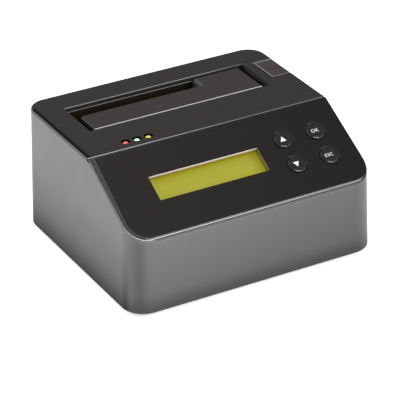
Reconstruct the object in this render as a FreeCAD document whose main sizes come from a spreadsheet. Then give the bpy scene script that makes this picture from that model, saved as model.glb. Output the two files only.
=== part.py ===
import FreeCAD
import Part
import os
import re
import Sketcher
from FreeCAD import Placement, Rotation, Vector

# A drive eraser dock: grey housing, black deck and sloping control panel, drive bay with a
# spring flap, eject key and lever. X runs to the right, Y to the rear, Z up from the floor.

SIZES = {
    "base_width": 140.0,
    "base_depth": 121.0,
    "body_height": 66.2,
    "front_height": 40.9,
    "slope_run": 45.46,
    "draft_angle": 1.7,
    "corner_radius": 12.0,
    "wall": 2.2,
    "reach": 5.0,
    "bottom_edge_bevel": 0.8,
    "foot_height": 1.8,
    "foot_diameter": 12.0,
    "foot_sides": 24,
    "foot_sink": 0.8,
    "foot_inset": 17.0,
    "vent_length": 30.0,
    "vent_width": 3.0,
    "vent_front_margin": 26.5,
    "vent_run": 40.0,
    "vent_count": 7,
    "fit_gap": 0.3,
    "pin_clearance": 0.16,
    "seam_gap": 0.2,
    "cover_thickness": 2.4,
    "rim_height": 1.6,
    "rim_radius": 1.3,
    "wall_crest_radius": 7.0,
    "overlay_thickness": 0.9,
    "overlay_inset": 0.3,
    "overlay_bevel": 0.3,
    "bottom_thickness": 2.2,
    "ledge_width": 2.0,
    "ledge_thickness": 1.6,
    "post_diameter": 7.0,
    "post_side_inset": 12.0,
    "post_end_inset": 8.5,
    "post_bore_depth": 14.0,
    "peg_sides": 8,
    "screw_diameter": 2.6,
    "screw_head_diameter": 5.4,
    "screw_head_height": 1.2,
    "screw_length": 10.0,
    "short_screw_length": 5.5,
    "drive_width": 101.6,
    "drive_thickness": 26.1,
    "small_drive_width": 69.85,
    "small_drive_thickness": 9.5,
    "bay_center_x": -1.2,
    "bay_rear_margin": 18.3,
    "bay_side_margin": 1.3,
    "opening_margin": 2.9,
    "opening_edge_radius": 0.5,
    "bay_ledge": 0.5,
    "bay_wall": 1.8,
    "bay_floor_rise": 11.6,
    "bay_floor": 2.0,
    "bay_front_recess": 4.9,
    "guide_rib_width": 2.4,
    "window_width": 14.5,
    "window_pitch": 20.3,
    "window_low": 6.0,
    "window_height": 10.0,
    "ear_size": 7.0,
    "ear_thickness": 3.0,
    "ear_boss_height": 6.0,
    "ear_boss_diameter": 6.4,
    "flap_sink": 0.8,
    "flap_thickness": 2.7,
    "flap_side_gap": 3.5,
    "flap_front_gap": 2.0,
    "flap_rear_gap": 1.2,
    "flap_edge_radius": 0.6,
    "flap_corner_radius": 2.2,
    "notch_margin": 1.6,
    "notch_bevel": 1.4,
    "skirt_thickness": 1.6,
    "skirt_depth": 6.4,
    "hinge_drop": 5.0,
    "hinge_setback": 2.4,
    "hinge_barrel": 4.2,
    "hinge_pin": 2.0,
    "arm_width": 6.0,
    "arm_inset": 6.0,
    "arm_thickness": 3.4,
    "arm_reach": 7.5,
    "spring_wire": 0.6,
    "coil_spread": 1.3,
    "flap_coil_turns": 3.0,
    "flap_coil_offset": 18.8,
    "eject_width": 13.3,
    "eject_length": 19.1,
    "eject_rear_inset": 2.4,
    "eject_sink": 0.2,
    "eject_gap": 0.5,
    "eject_travel": 3.5,
    "eject_cap_height": 6.0,
    "eject_cap_wall": 1.2,
    "eject_edge_radius": 0.6,
    "eject_apron": 10.0,
    "stem_inset": 4.4,
    "stem_diameter": 3.6,
    "shelf_drop": 28.0,
    "shelf_thickness": 2.0,
    "eject_coil_turns": 4.0,
    "lever_pivot_inset": 6.4,
    "lever_pivot_rise": 4.9,
    "lever_reach": 7.2,
    "lever_tip": 4.4,
    "lever_inset": 13.7,
    "lever_width": 7.0,
    "lever_thickness": 5.0,
    "lever_nose": 6.0,
    "lever_hub": 8.0,
    "lever_pin_diameter": 3.0,
    "lever_slot_play": 2.0,
    "lug_width": 8.0,
    "lug_thickness": 2.4,
    "board_height": 9.0,
    "board_thickness": 1.6,
    "board_left_margin": 17.0,
    "board_right_margin": 30.0,
    "board_front_margin": 30.5,
    "board_rear_margin": 4.2,
    "board_hole_inset": 4.0,
    "standoff_diameter": 6.0,
    "sata_inset": 24.3,
    "sata_length": 42.0,
    "sata_width": 6.0,
    "sata_above_floor": 1.5,
    "sata_from_rear": 4.2,
    "sata_slot_width": 1.4,
    "sata_slot_depth": 6.0,
    "sata_end_margin": 3.0,
    "sata_key_gap": 2.0,
    "sata_data_slot": 12.4,
    "sata_power_slot": 21.6,
    "contact_pitch": 1.27,
    "contact_width": 0.6,
    "contact_thickness": 0.3,
    "contact_height": 4.6,
    "lcd_margin": 56.75,
    "lcd_up_offset": 0.49,
    "lcd_window_width": 61.5,
    "lcd_window_height": 14.3,
    "lcd_board_width": 80.0,
    "lcd_board_height": 36.0,
    "lcd_hole_inset": 2.5,
    "lcd_bezel_width": 71.3,
    "lcd_bezel_height": 26.8,
    "lcd_bezel_depth": 6.0,
    "lcd_bezel_sheet": 0.5,
    "lcd_view_width": 64.5,
    "lcd_view_height": 16.4,
    "lcd_glass_thickness": 1.8,
    "panel_post_diameter": 5.0,
    "key_margin": 18.2,
    "key_column_pitch": 18.9,
    "key_row_pitch": 15.7,
    "key_up_offset": 0.34,
    "key_diameter": 9.6,
    "key_gap": 0.4,
    "key_proud": 0.5,
    "key_edge_bevel": 0.7,
    "key_flange": 11.8,
    "key_flange_thickness": 1.0,
    "key_play": 0.4,
    "key_stem": 3.6,
    "key_stem_length": 1.6,
    "key_moat": 0.5,
    "key_board_left_margin": 5.5,
    "key_board_right_margin": 6.8,
    "key_board_lower_margin": 9.5,
    "key_board_upper_margin": 9.8,
    "key_hole_inset": 3.0,
    "switch_size": 6.0,
    "switch_height": 3.5,
    "plunger_diameter": 3.4,
    "plunger_rise": 0.8,
    "plunger_depth": 0.9,
    "led_from_crest": 7.73,
    "led_margin": 26.3,
    "led_pitch": 6.35,
    "led_diameter": 3.6,
    "led_hole": 4.8,
    "led_sink": 0.1,
    "led_body": 4.4,
    "led_dome_radius": 1.75,
    "led_flange": 0.8,
    "led_lead": 0.5,
    "led_lead_pitch": 2.54,
    "led_board_drop": 9.0,
    "led_board_width": 30.0,
    "led_board_depth": 9.0,
    "led_hole_inset": 3.0,
    "usb_inset": 47.0,
    "usb_width": 12.0,
    "usb_height": 11.0,
    "usb_length": 15.4,
    "usb_shell": 0.5,
    "usb_margin": 1.5,
    "usb_bevel": 2.0,
    "usb_depth": 11.0,
    "usb_tongue_width": 5.6,
    "usb_tongue_height": 3.2,
    "dc_inset": 23.0,
    "dc_width": 9.0,
    "dc_height": 11.0,
    "dc_length": 14.0,
    "dc_bore": 6.3,
    "dc_pin_diameter": 2.0,
    "dc_depth": 10.0,
    "port_set_back": 0.5,
    "switch_margin": 37.0,
    "switch_drop": 34.0,
    "rocker_bezel_width": 15.0,
    "rocker_bezel_height": 21.0,
    "rocker_bezel_thickness": 0.5,
    "rocker_body_width": 12.8,
    "rocker_body_height": 18.8,
    "rocker_body_depth": 10.5,
    "rocker_frame": 1.4,
    "rocker_tilt": 7.0,
    "rocker_proud": -0.25,
    "rocker_pivot_depth": 4.0,
    "rocker_back": 2.0,
    "rocker_dish": 1.2,
    "chip_inset_x": 61.0,
    "chip_inset_y": 22.0,
    "chip_size": 14.0,
    "chip_height": 1.4,
    "bridge_inset_x": 23.0,
    "bridge_inset_y": 42.0,
    "bridge_size": 10.0,
    "bridge_height": 1.1,
    "cable_offset": 20.75,
    "cable_width": 20.0,
    "key_cable_offset": 3.4,
    "key_cable_width": 9.0,
    "cable_thickness": 0.9,
    "cable_top_reach": 32.29,
    "cable_low_inset": 12.0,
    "cable_upper_drop": 8.7,
    "cable_lower_drop": 15.7,
    "header_height": 3.6,
    "header_depth": 5.0,
}

# Two faces or edges closer than this count as one.
TOUCH = 1e-4

# Values that follow from the sizes above.
DERIVED = {
    "deck_z": "foot_height + body_height",
    "front_z": "foot_height + front_height",
    "front_y": "front_height * tan(draft_angle) - base_depth / 2",
    "crest_y": "front_y + slope_run",
    "slope_angle": "atan((body_height - front_height) / slope_run)",
    "slope_length": "slope_run / cos(slope_angle)",
    "post_x": "base_width / 2 - post_side_inset",
    "post_rear_y": "base_depth / 2 - post_end_inset",
    "post_front_y": "0 - post_rear_y",
    "vent_front_y": "vent_front_margin - base_depth / 2",
    "board_left_x": "board_left_margin - base_width / 2",
    "board_right_x": "base_width / 2 - board_right_margin",
    "board_front_y": "board_front_margin - base_depth / 2",
    "board_rear_y": "base_depth / 2 - board_rear_margin",
    "board_top_z": "board_height + board_thickness",
    "bay_rear_y": "base_depth / 2 - bay_rear_margin",
    "bay_floor_z": "board_top_z + bay_floor_rise",
    "cover_under_z": "deck_z - cover_thickness",
    "cover_under_n": "0 - overlay_thickness - cover_thickness",
    "bottom_top_z": "foot_height + bottom_thickness",
    "opening_half": "drive_width / 2 + bay_side_margin",
    "opening_left_x": "bay_center_x - opening_half",
    "opening_right_x": "bay_center_x + opening_half",
    "opening_front_y": "bay_rear_y - drive_thickness - opening_margin",
    "bay_left_x": "opening_left_x + bay_ledge",
    "bay_right_x": "opening_right_x - bay_ledge",
    "bay_back_y": "bay_rear_y - bay_ledge",
    "bay_front_y": "opening_front_y - bay_front_recess",
    "bay_top_z": "cover_under_z",
    "bay_depth": "deck_z - bay_floor_z",
    "flap_left_x": "opening_left_x + flap_side_gap",
    "flap_right_x": "opening_right_x - flap_side_gap",
    "flap_front_y": "opening_front_y + flap_front_gap",
    "flap_rear_y": "bay_rear_y - flap_rear_gap",
    "flap_top_z": "deck_z - flap_sink",
    "flap_low_z": "flap_top_z - flap_thickness",
    "notch_right_x": "bay_left_x + small_drive_width + 2 * notch_margin",
    "notch_front_y": "bay_back_y - small_drive_thickness - fit_gap",
    "skirt_low_z": "flap_top_z - skirt_depth",
    "hinge_y": "opening_front_y - hinge_setback",
    "hinge_z": "deck_z - hinge_drop",
    "flap_coil_x": "bay_center_x - flap_coil_offset",
    "eject_x": "base_width / 2 - eject_width",
    "eject_rear_y": "bay_rear_y - eject_rear_inset",
    "eject_front_y": "eject_rear_y - eject_length",
    "eject_top_z": "deck_z - eject_sink",
    "eject_low_z": "deck_z - eject_cap_height",
    "eject_inner_x": "base_width / 2 - wall - fit_gap - body_height * tan(draft_angle)",
    "stem_x": "eject_x + stem_inset",
    "shelf_height": "deck_z - shelf_drop",
    "lever_pivot_x": "bay_right_x - lever_pivot_inset",
    "lever_pivot_height": "board_top_z + lever_pivot_rise",
    "lever_inner_x": "bay_center_x + lever_reach",
    "lever_outer_x": "stem_x + lever_tip",
    "lever_front_y": "bay_rear_y - lever_inset",
    "lever_top_z": "lever_pivot_height + lever_thickness / 2",
    "lever_rear_y": "lever_front_y + lever_width",
    "lever_center_y": "lever_front_y + lever_width / 2",
    "sata_y": "bay_back_y - sata_from_rear",
    "sata_center_x": "bay_left_x + sata_inset",
    "sata_left_x": "sata_center_x - sata_length / 2",
    "sata_right_x": "sata_center_x + sata_length / 2",
    "sata_top_z": "bay_floor_z + sata_above_floor",
    "lcd_center_x": "lcd_margin - base_width / 2",
    "lcd_center_up": "slope_length / 2 + lcd_up_offset",
    "lcd_top_n": "cover_under_n - fit_gap",
    "lcd_board_n": "lcd_top_n - lcd_bezel_depth",
    "panel_back_n": "lcd_board_n - board_thickness",
    "key_right_x": "base_width / 2 - key_margin",
    "key_left_x": "key_right_x - key_column_pitch",
    "key_upper": "slope_length / 2 + key_up_offset + key_row_pitch / 2",
    "key_lower": "key_upper - key_row_pitch",
    "key_board_left_x": "key_left_x - key_board_left_margin",
    "key_board_right_x": "key_right_x + key_board_right_margin",
    "key_board_lower": "key_lower - key_board_lower_margin",
    "key_board_upper": "key_upper + key_board_upper_margin",
    "key_flange_n": "cover_under_n - key_play",
    "key_stem_n": "key_flange_n - key_flange_thickness - key_stem_length",
    "plunger_top_n": "key_stem_n - fit_gap",
    "switch_top_n": "plunger_top_n - plunger_rise",
    "key_board_n": "switch_top_n - switch_height",
    "key_board_back_n": "key_board_n - board_thickness",
    "led_y": "crest_y + led_from_crest",
    "led_first_x": "led_margin - base_width / 2",
    "led_top_z": "deck_z - led_sink",
    "led_foot_z": "led_top_z - led_body",
    "led_board_z": "deck_z - led_board_drop",
    "led_center_x": "led_first_x + led_pitch",
    "usb_x": "board_left_x + usb_inset",
    "dc_x": "board_left_x + dc_inset",
    "switch_x": "base_width / 2 - switch_margin",
    "switch_up": "deck_z - switch_drop",
    "port_face_y": "base_depth / 2 - (board_top_z - foot_height) * tan(draft_angle) - port_set_back",
    "switch_face_y": "base_depth / 2 - (switch_up - foot_height) * tan(draft_angle)",
    "chip_x": "board_left_x + chip_inset_x",
    "chip_y": "board_front_y + chip_inset_y",
    "bridge_x": "board_left_x + bridge_inset_x",
    "bridge_y": "board_front_y + bridge_inset_y",
    "cable_left_x": "lcd_center_x - cable_offset",
    "key_cable_left_x": "key_left_x - key_cable_offset",
    "cable_top_y": "front_y + cable_top_reach",
    "cable_low_y": "board_front_y + cable_low_inset",
    "cable_upper_bend": "front_z - cable_upper_drop",
    "cable_lower_bend": "front_z - cable_lower_drop",
    "header_z": "board_top_z + header_height",
    "flap_coil_diameter": "hinge_pin + spring_wire + 2 * fit_gap",
    "eject_coil_diameter": "stem_diameter + spring_wire + 2 * fit_gap",
    "flap_coil_length": "coil_spread * spring_wire * flap_coil_turns",
    "screw_hole": "screw_diameter + 2 * fit_gap",
    "ear_seat_z": "cover_under_z - ear_boss_height - fit_gap - ear_thickness",
    "led_back_z": "led_board_z - board_thickness",
}

os.makedirs("parts", exist_ok=True)
doc = FreeCAD.newDocument("eraser_dock")
sheet = doc.addObject("Spreadsheet::Sheet", "Sizes")
for row, (alias, number) in enumerate(SIZES.items(), 1):
    sheet.set("A%d" % row, alias.replace("_", " "))
    sheet.set("B%d" % row, str(number))
    sheet.setAlias("B%d" % row, alias)
doc.recompute()


def expand(text):
    """Turn a formula in plain size names into one that reads the sheet."""
    def swap(match):
        word = match.group(0)
        if word in DERIVED:
            return "(" + expand(DERIVED[word]) + ")"
        if word in SIZES:
            return "Sizes." + word
        return word
    return re.sub(r"[A-Za-z_]\w*", swap, str(text))


def value(text):
    return float(sheet.evalExpression(expand(text)))


def bind(thing, **formulas):
    """Bind properties of an object, with two underscores standing for a dot."""
    for path, text in formulas.items():
        thing.setExpression(path.replace("__", "."), expand(text))


def slope_y(up, out):
    return "(front_y + (%s) * cos(slope_angle) - (%s) * sin(slope_angle))" % (up, out)


def slope_z(up, out):
    return "(front_z + (%s) * sin(slope_angle) + (%s) * cos(slope_angle))" % (up, out)


def under_slope(y, out):
    """Height at Y of a plane that lies off the slope by a given distance."""
    return "(front_z + ((%s) - front_y) * tan(slope_angle) + (%s) / cos(slope_angle))" % (y, out)


def bend_y(below_deck, below_slope):
    """Y where a plane below the deck meets a plane below the slope."""
    return "(crest_y - (%s) / tan(slope_angle) + (%s) / sin(slope_angle))" % (below_deck, below_slope)


def place(thing, x, y, z, axis=None, angle="0"):
    if axis is not None:
        thing.Placement = Placement(Vector(0, 0, 0), Rotation(axis, max(value(angle), 1)))
        bind(thing, Placement__Rotation__Angle=angle)
    bind(thing, Placement__Base__x=x, Placement__Base__y=y, Placement__Base__z=z)
    return thing


def place_on_slope(thing, x="0", up="0", out="0"):
    return place(thing, x, slope_y(up, out), slope_z(up, out), Vector(1, 0, 0), "slope_angle")


class Drawing:
    """A fully dimensioned sketch in a body: lines, arcs and circles bound to the sheet."""

    def __init__(self, body, name, plane="XY_Plane", lift="0", on_slope=False):
        self.body = body
        self.name = name
        self.sketch = body.newObject("Sketcher::SketchObject", name)
        base = [item for item in body.Origin.OriginFeatures if item.Role == plane][0]
        self.sketch.AttachmentSupport = [(base, "")]
        self.sketch.MapMode = "FlatFace"
        if on_slope:
            turn = Rotation(Vector(1, 0, 0), value("slope_angle"))
            self.sketch.AttachmentOffset = Placement(Vector(0, 0, 0), turn)
            bind(self.sketch, AttachmentOffset__Rotation__Angle="slope_angle",
                 AttachmentOffset__Base__y=slope_y("0", lift),
                 AttachmentOffset__Base__z=slope_z("0", lift))
        else:
            bind(self.sketch, AttachmentOffset__Base__z=lift)

    def size(self, kind, text, *where):
        index = self.sketch.addConstraint(Sketcher.Constraint(kind, *where, value(text)))
        self.sketch.setExpression("Constraints[%d]" % index, expand(text))

    def rule(self, kind, *where):
        self.sketch.addConstraint(Sketcher.Constraint(kind, *where))

    def pin(self, geometry, point, x, y):
        self.size("DistanceX", x, -1, 1, geometry, point)
        self.size("DistanceY", y, -1, 1, geometry, point)

    def line(self, start, end):
        return self.sketch.addGeometry(Part.LineSegment(start, end), False)

    def outline(self, corners, radii=None):
        """Closed outline through corners, with some of them rounded."""
        radii = radii or {}
        spots = [Vector(value(x), value(y), 0) for x, y in corners]
        count = len(spots)
        starts = []
        ends = []
        for index, spot in enumerate(spots):
            if index in radii:
                before = (spots[index - 1] - spot).normalize()
                after = (spots[(index + 1) % count] - spot).normalize()
                cosine = before.dot(after)
                tangent = value(radii[index]) * ((1 + cosine) / (1 - cosine)) ** 0.5
                ends.append(spot + before * tangent)
                starts.append(spot + after * tangent)
            else:
                ends.append(spot)
                starts.append(spot)
        lines = [self.line(starts[i], ends[(i + 1) % count]) for i in range(count)]
        for index, spot in enumerate(spots):
            arriving = lines[index - 1]
            leaving = lines[index]
            x, y = corners[index]
            if index not in radii:
                self.rule("Coincident", arriving, 2, leaving, 1)
                self.pin(leaving, 1, x, y)
                continue
            radius = value(radii[index])
            before = (spots[index - 1] - spot).normalize()
            after = (spots[(index + 1) % count] - spot).normalize()
            middle = (before + after).normalize()
            half = (0.5 * (1 - before.dot(after))) ** 0.5
            center = spot + middle * (radius / half)
            through = center - middle * radius
            arc = Part.Arc(ends[index], through, starts[index])
            curve = self.sketch.addGeometry(arc, False)
            first = self.sketch.Geometry[curve].StartPoint
            forward = first.distanceToPoint(ends[index]) < first.distanceToPoint(starts[index])
            near, far = (1, 2) if forward else (2, 1)
            self.rule("Tangent", arriving, 2, curve, near)
            self.rule("Tangent", curve, far, leaving, 1)
            self.size("Radius", radii[index], curve)
            mark = self.sketch.addGeometry(Part.Point(spot), True)
            self.rule("PointOnObject", mark, 1, arriving)
            self.rule("PointOnObject", mark, 1, leaving)
            self.pin(mark, 1, x, y)
        return self

    def rect(self, x0, x1, y0, y1, radius=None):
        corners = [(x0, y0), (x1, y0), (x1, y1), (x0, y1)]
        return self.outline(corners, {i: radius for i in range(4)} if radius else None)

    def circle(self, x, y, diameter):
        center = Vector(value(x), value(y), 0)
        ring = self.sketch.addGeometry(Part.Circle(center, Vector(0, 0, 1), value(diameter) / 2), False)
        self.pin(ring, 3, x, y)
        self.size("Diameter", diameter, ring)
        return self

    def feature(self, kind, length, back=False, **formulas):
        item = self.body.newObject("PartDesign::" + kind, self.name + "_" + kind.lower())
        item.Profile = self.sketch
        item.Reversed = back
        bind(item, Length=length, **formulas)
        return item

    def pad(self, length, back=False, **formulas):
        return self.feature("Pad", length, back, **formulas)

    def pocket(self, length, back=False, **formulas):
        before = self.body_volume()
        item = self.feature("Pocket", length, back, **formulas)
        if not self.body_volume() < before - TOUCH:
            raise RuntimeError("pocket %s removes nothing" % self.name)
        return item

    def revolve(self):
        item = self.body.newObject("PartDesign::Revolution", self.name + "_turn")
        item.Profile = self.sketch
        item.ReferenceAxis = (self.sketch, ["V_Axis"])
        item.Angle = 360
        return item

    def body_volume(self):
        doc.recompute()
        return self.body.Shape.Volume


def body_named(label, base=None):
    body = doc.addObject("PartDesign::Body", label)
    body.Label = label
    if base is not None:
        body.BaseFeature = base
        doc.recompute()
    return body


def edges_where(thing, test):
    doc.recompute()
    return ["Edge%d" % i for i, edge in enumerate(thing.Shape.Edges, 1) if test(edge)]


def round_edges(body, test, radius, kind="Fillet"):
    tip = body.Tip
    names = edges_where(tip, test)
    if not names:
        raise RuntimeError("no edge to round on " + body.Label)
    item = body.newObject("PartDesign::" + kind, body.Label + "_" + kind.lower())
    item.Base = (tip, names)
    bind(item, **{"Radius" if kind == "Fillet" else "Size": radius})
    doc.recompute()
    return item


def joined(kind, label, *things):
    """A boolean or a group of other solids."""
    item = doc.addObject("Part::" + kind, label)
    item.Label = label
    if kind in ("Cut", "Common"):
        item.Base, item.Tool = things
    elif kind == "Compound":
        item.Links = list(things)
    else:
        item.Shapes = list(things)
    return item


def block(label, x0, x1, y0, y1, z0, z1, on_slope=False):
    item = doc.addObject("Part::Box", label)
    item.Label = label
    span = "(%s) - (%s)"
    bind(item, Length=span % (x1, x0), Width=span % (y1, y0), Height=span % (z1, z0))
    return place_on_slope(item, x0, y0, z0) if on_slope else place(item, x0, y0, z0)


def rod(label, diameter, length, x, y, z, along="Z"):
    item = doc.addObject("Part::Cylinder", label)
    item.Label = label
    bind(item, Radius="(%s) / 2" % diameter, Height=length)
    if along == "slope":
        return place_on_slope(item, x, y, z)
    if along == "X":
        return place(item, x, y, z, Vector(0, 1, 0), "90")
    if along == "Y":
        return place(item, x, y, z, Vector(-1, 0, 0), "90")
    return place(item, x, y, z)


def peg(label, diameter, length, x, y, z, along="Z", sides="peg_sides"):
    """A many-sided rod, for small round work that repeats out of sight."""
    item = doc.addObject("Part::Prism", label)
    item.Label = label
    bind(item, Polygon=sides, Circumradius="(%s) / 2" % diameter, Height=length)
    return place_on_slope(item, x, y, z) if along == "slope" else place(item, x, y, z)


def pegs(label, spots, diameter, length, z, along="Z", sides="peg_sides"):
    """A group of like pegs, such as posts or screw holes."""
    made = [peg("%s_%d" % (label, number), diameter, length, x, y, z, along, sides)
            for number, (x, y) in enumerate(spots, 1)]
    return joined("Compound", label, *made)


def tapered(label, inset, low, high):
    """The housing's outline, drawn in by an inset and drafted from low to high."""
    body = body_named(label)
    narrow = "((%s) + ((%s) - foot_height) * tan(draft_angle))" % (inset, low)
    half_x = "base_width / 2 - %s" % narrow
    half_y = "base_depth / 2 - %s" % narrow
    drawing = Drawing(body, label + "_outline", "XY_Plane", low)
    drawing.rect("-(%s)" % half_x, half_x, "-(%s)" % half_y, half_y, "corner_radius - %s" % narrow)
    drawing.pad("(%s) - (%s)" % (high, low), TaperAngle="-draft_angle")
    return body


def prism(label, corners, radii=None):
    """A side profile carried across the whole width."""
    body = body_named(label)
    drawing = Drawing(body, label + "_profile", "YZ_Plane", "-(base_width / 2 + reach)")
    drawing.outline(corners, radii)
    drawing.pad("base_width + 2 * reach")
    return body


def band(label, top_deck, top_slope, low_deck, low_slope, low_radius=None):
    """The layer between two profiles that follow the deck and the slope."""
    rear = "base_depth / 2 + reach"
    ahead = "-2 * reach"
    corners = [
        (rear, "deck_z - (%s)" % top_deck),
        (bend_y(top_deck, top_slope), "deck_z - (%s)" % top_deck),
        (slope_y(ahead, "-(%s)" % top_slope), slope_z(ahead, "-(%s)" % top_slope)),
        (slope_y(ahead, "-(%s)" % low_slope), slope_z(ahead, "-(%s)" % low_slope)),
        (bend_y(low_deck, low_slope), "deck_z - (%s)" % low_deck),
        (rear, "deck_z - (%s)" % low_deck),
    ]
    return prism(label, corners, {4: low_radius} if low_radius else None)


def screws(label, spots, seat, length, along="Z", up=True):
    """A group of like screws, each a head and a shank, with the heads' seat at one height."""
    made = []
    for number, (x, y) in enumerate(spots, 1):
        name = "%s_%d" % (label, number)
        head_z = "(%s) - screw_head_height" % seat if up else seat
        shank_z = seat if up else "(%s) - %s" % (seat, length)
        head = peg(name + "_head", "screw_head_diameter", "screw_head_height", x, y, head_z, along)
        shank = peg(name + "_shank", "screw_diameter", length, x, y, shank_z, along)
        made.append(joined("MultiFuse", name, head, shank))
    return joined("Compound", label, *made)


# Shared forms.
outer_form = tapered("outer_form", "0", "foot_height", "deck_z + reach")
cavity_form = tapered("cavity_form", "wall", "foot_height - reach / 5", "deck_z + reach")
inner_form = tapered("inner_form", "wall + fit_gap", "foot_height", "deck_z + reach")
inset_form = tapered("inset_form", "overlay_inset", "foot_height", "deck_z + reach")

# Spots shared by several pieces.
POSTS = [(x, y) for y in ("post_front_y", "post_rear_y") for x in ("-post_x", "post_x")]
EARS = [("bay_left_x - bay_wall - ear_size / 2", "opening_front_y"),
        ("bay_left_x - bay_wall - ear_size / 2", "bay_rear_y - ear_size"),
        ("bay_right_x + bay_wall + ear_size / 2", "opening_front_y - ear_size / 4"),
        ("bay_right_x + bay_wall + ear_size / 2", "eject_rear_y + eject_gap + ear_size / 2 + fit_gap")]
LCD_HOLES = [("lcd_center_x + %s * (lcd_board_width / 2 - lcd_hole_inset)" % a,
              "lcd_center_up + %s * (lcd_board_height / 2 - lcd_hole_inset)" % b)
             for a in ("-1", "1") for b in ("-1", "1")]
KEY_HOLES = [("(key_left_x + key_right_x) / 2", "key_board_lower + key_hole_inset"),
             ("(key_left_x + key_right_x) / 2", "key_board_upper - key_hole_inset")]
KEYS = {"up": ("key_left_x", "key_upper"), "down": ("key_left_x", "key_lower"),
        "ok": ("key_right_x", "key_upper"), "esc": ("key_right_x", "key_lower")}
LED_HOLES = [("led_center_x + %s * (led_board_width / 2 - led_hole_inset)" % a, "led_y")
             for a in ("-1", "1")]
BOARD_HOLES = [("board_left_x + board_hole_inset", "board_front_y + board_hole_inset"),
               ("board_right_x - board_hole_inset", "board_front_y + board_hole_inset"),
               ("board_left_x + board_hole_inset", "board_rear_y - board_hole_inset"),
               ("board_right_x - board_hole_inset", "board_rear_y - board_hole_inset")]
FEET = [("%s * (base_width / 2 - foot_inset)" % a, "%s * (base_depth / 2 - foot_inset)" % b)
        for a in ("-1", "1") for b in ("-1", "1")]


def shape_housing():
    """Grey wall ring: drafted, open at top and bottom, its top edge under the cover."""
    seam = "rim_height + seam_gap"
    profile = prism("wall_profile", [
        ("base_depth / 2 + reach", "deck_z - (%s)" % seam),
        (bend_y(seam, seam), "deck_z - (%s)" % seam),
        (slope_y("-2 * reach", "-(%s)" % seam), slope_z("-2 * reach", "-(%s)" % seam)),
        (slope_y("-2 * reach", "-(%s)" % seam), "0 - reach"),
        ("base_depth / 2 + reach", "0 - reach"),
    ], {1: "wall_crest_radius"})
    ring = joined("Cut", "wall_ring", outer_form, cavity_form)
    body = body_named("main_housing", joined("Common", "wall_cut", ring, profile))
    ledge = Drawing(body, "wall_ledge", "XY_Plane", "bottom_top_z + fit_gap")
    outer_x = "base_width / 2 - wall / 2"
    outer_y = "base_depth / 2 - wall / 2"
    ledge.rect("-(%s)" % outer_x, outer_x, "-(%s)" % outer_y, outer_y, "corner_radius - wall / 2")
    inner_x = "base_width / 2 - wall - ledge_width"
    inner_y = "base_depth / 2 - wall - ledge_width"
    ledge.rect("-(%s)" % inner_x, inner_x, "-(%s)" % inner_y, inner_y, "corner_radius - wall - ledge_width")
    ledge.pad("ledge_thickness")
    ports = Drawing(body, "wall_ports", "XZ_Plane", "-(base_depth / 2 - 4 * wall)")
    for x, width, height in (("usb_x", "usb_width", "usb_height"), ("dc_x", "dc_width", "dc_height")):
        ports.rect("%s - %s / 2 - fit_gap" % (x, width), "%s + %s / 2 + fit_gap" % (x, width),
                   "board_top_z - fit_gap", "board_top_z + %s + fit_gap" % height)
    ports.rect("switch_x - rocker_body_width / 2 - fit_gap", "switch_x + rocker_body_width / 2 + fit_gap",
               "switch_up - rocker_body_height / 2 - fit_gap",
               "switch_up + rocker_body_height / 2 + fit_gap")
    ports.pocket("4 * wall + reach")
    notch = Drawing(body, "wall_notch", "YZ_Plane", "base_width / 2 - 4 * wall")
    notch.rect("eject_front_y - eject_gap", "eject_rear_y + eject_gap",
               "eject_low_z - eject_travel - eject_gap", "deck_z + reach")
    notch.pocket("4 * wall + reach", back=True)
    floor = value("foot_height")

    def bottom_edge(edge):
        box = edge.BoundBox
        outside = max(abs(box.XMin), abs(box.XMax)) > value("base_width / 2 - wall / 2")
        outside = outside or max(abs(box.YMin), abs(box.YMax)) > value("base_depth / 2 - wall / 2")
        return box.ZMax < floor + TOUCH and outside
    round_edges(body, bottom_edge, "bottom_edge_bevel", "Chamfer")


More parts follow.
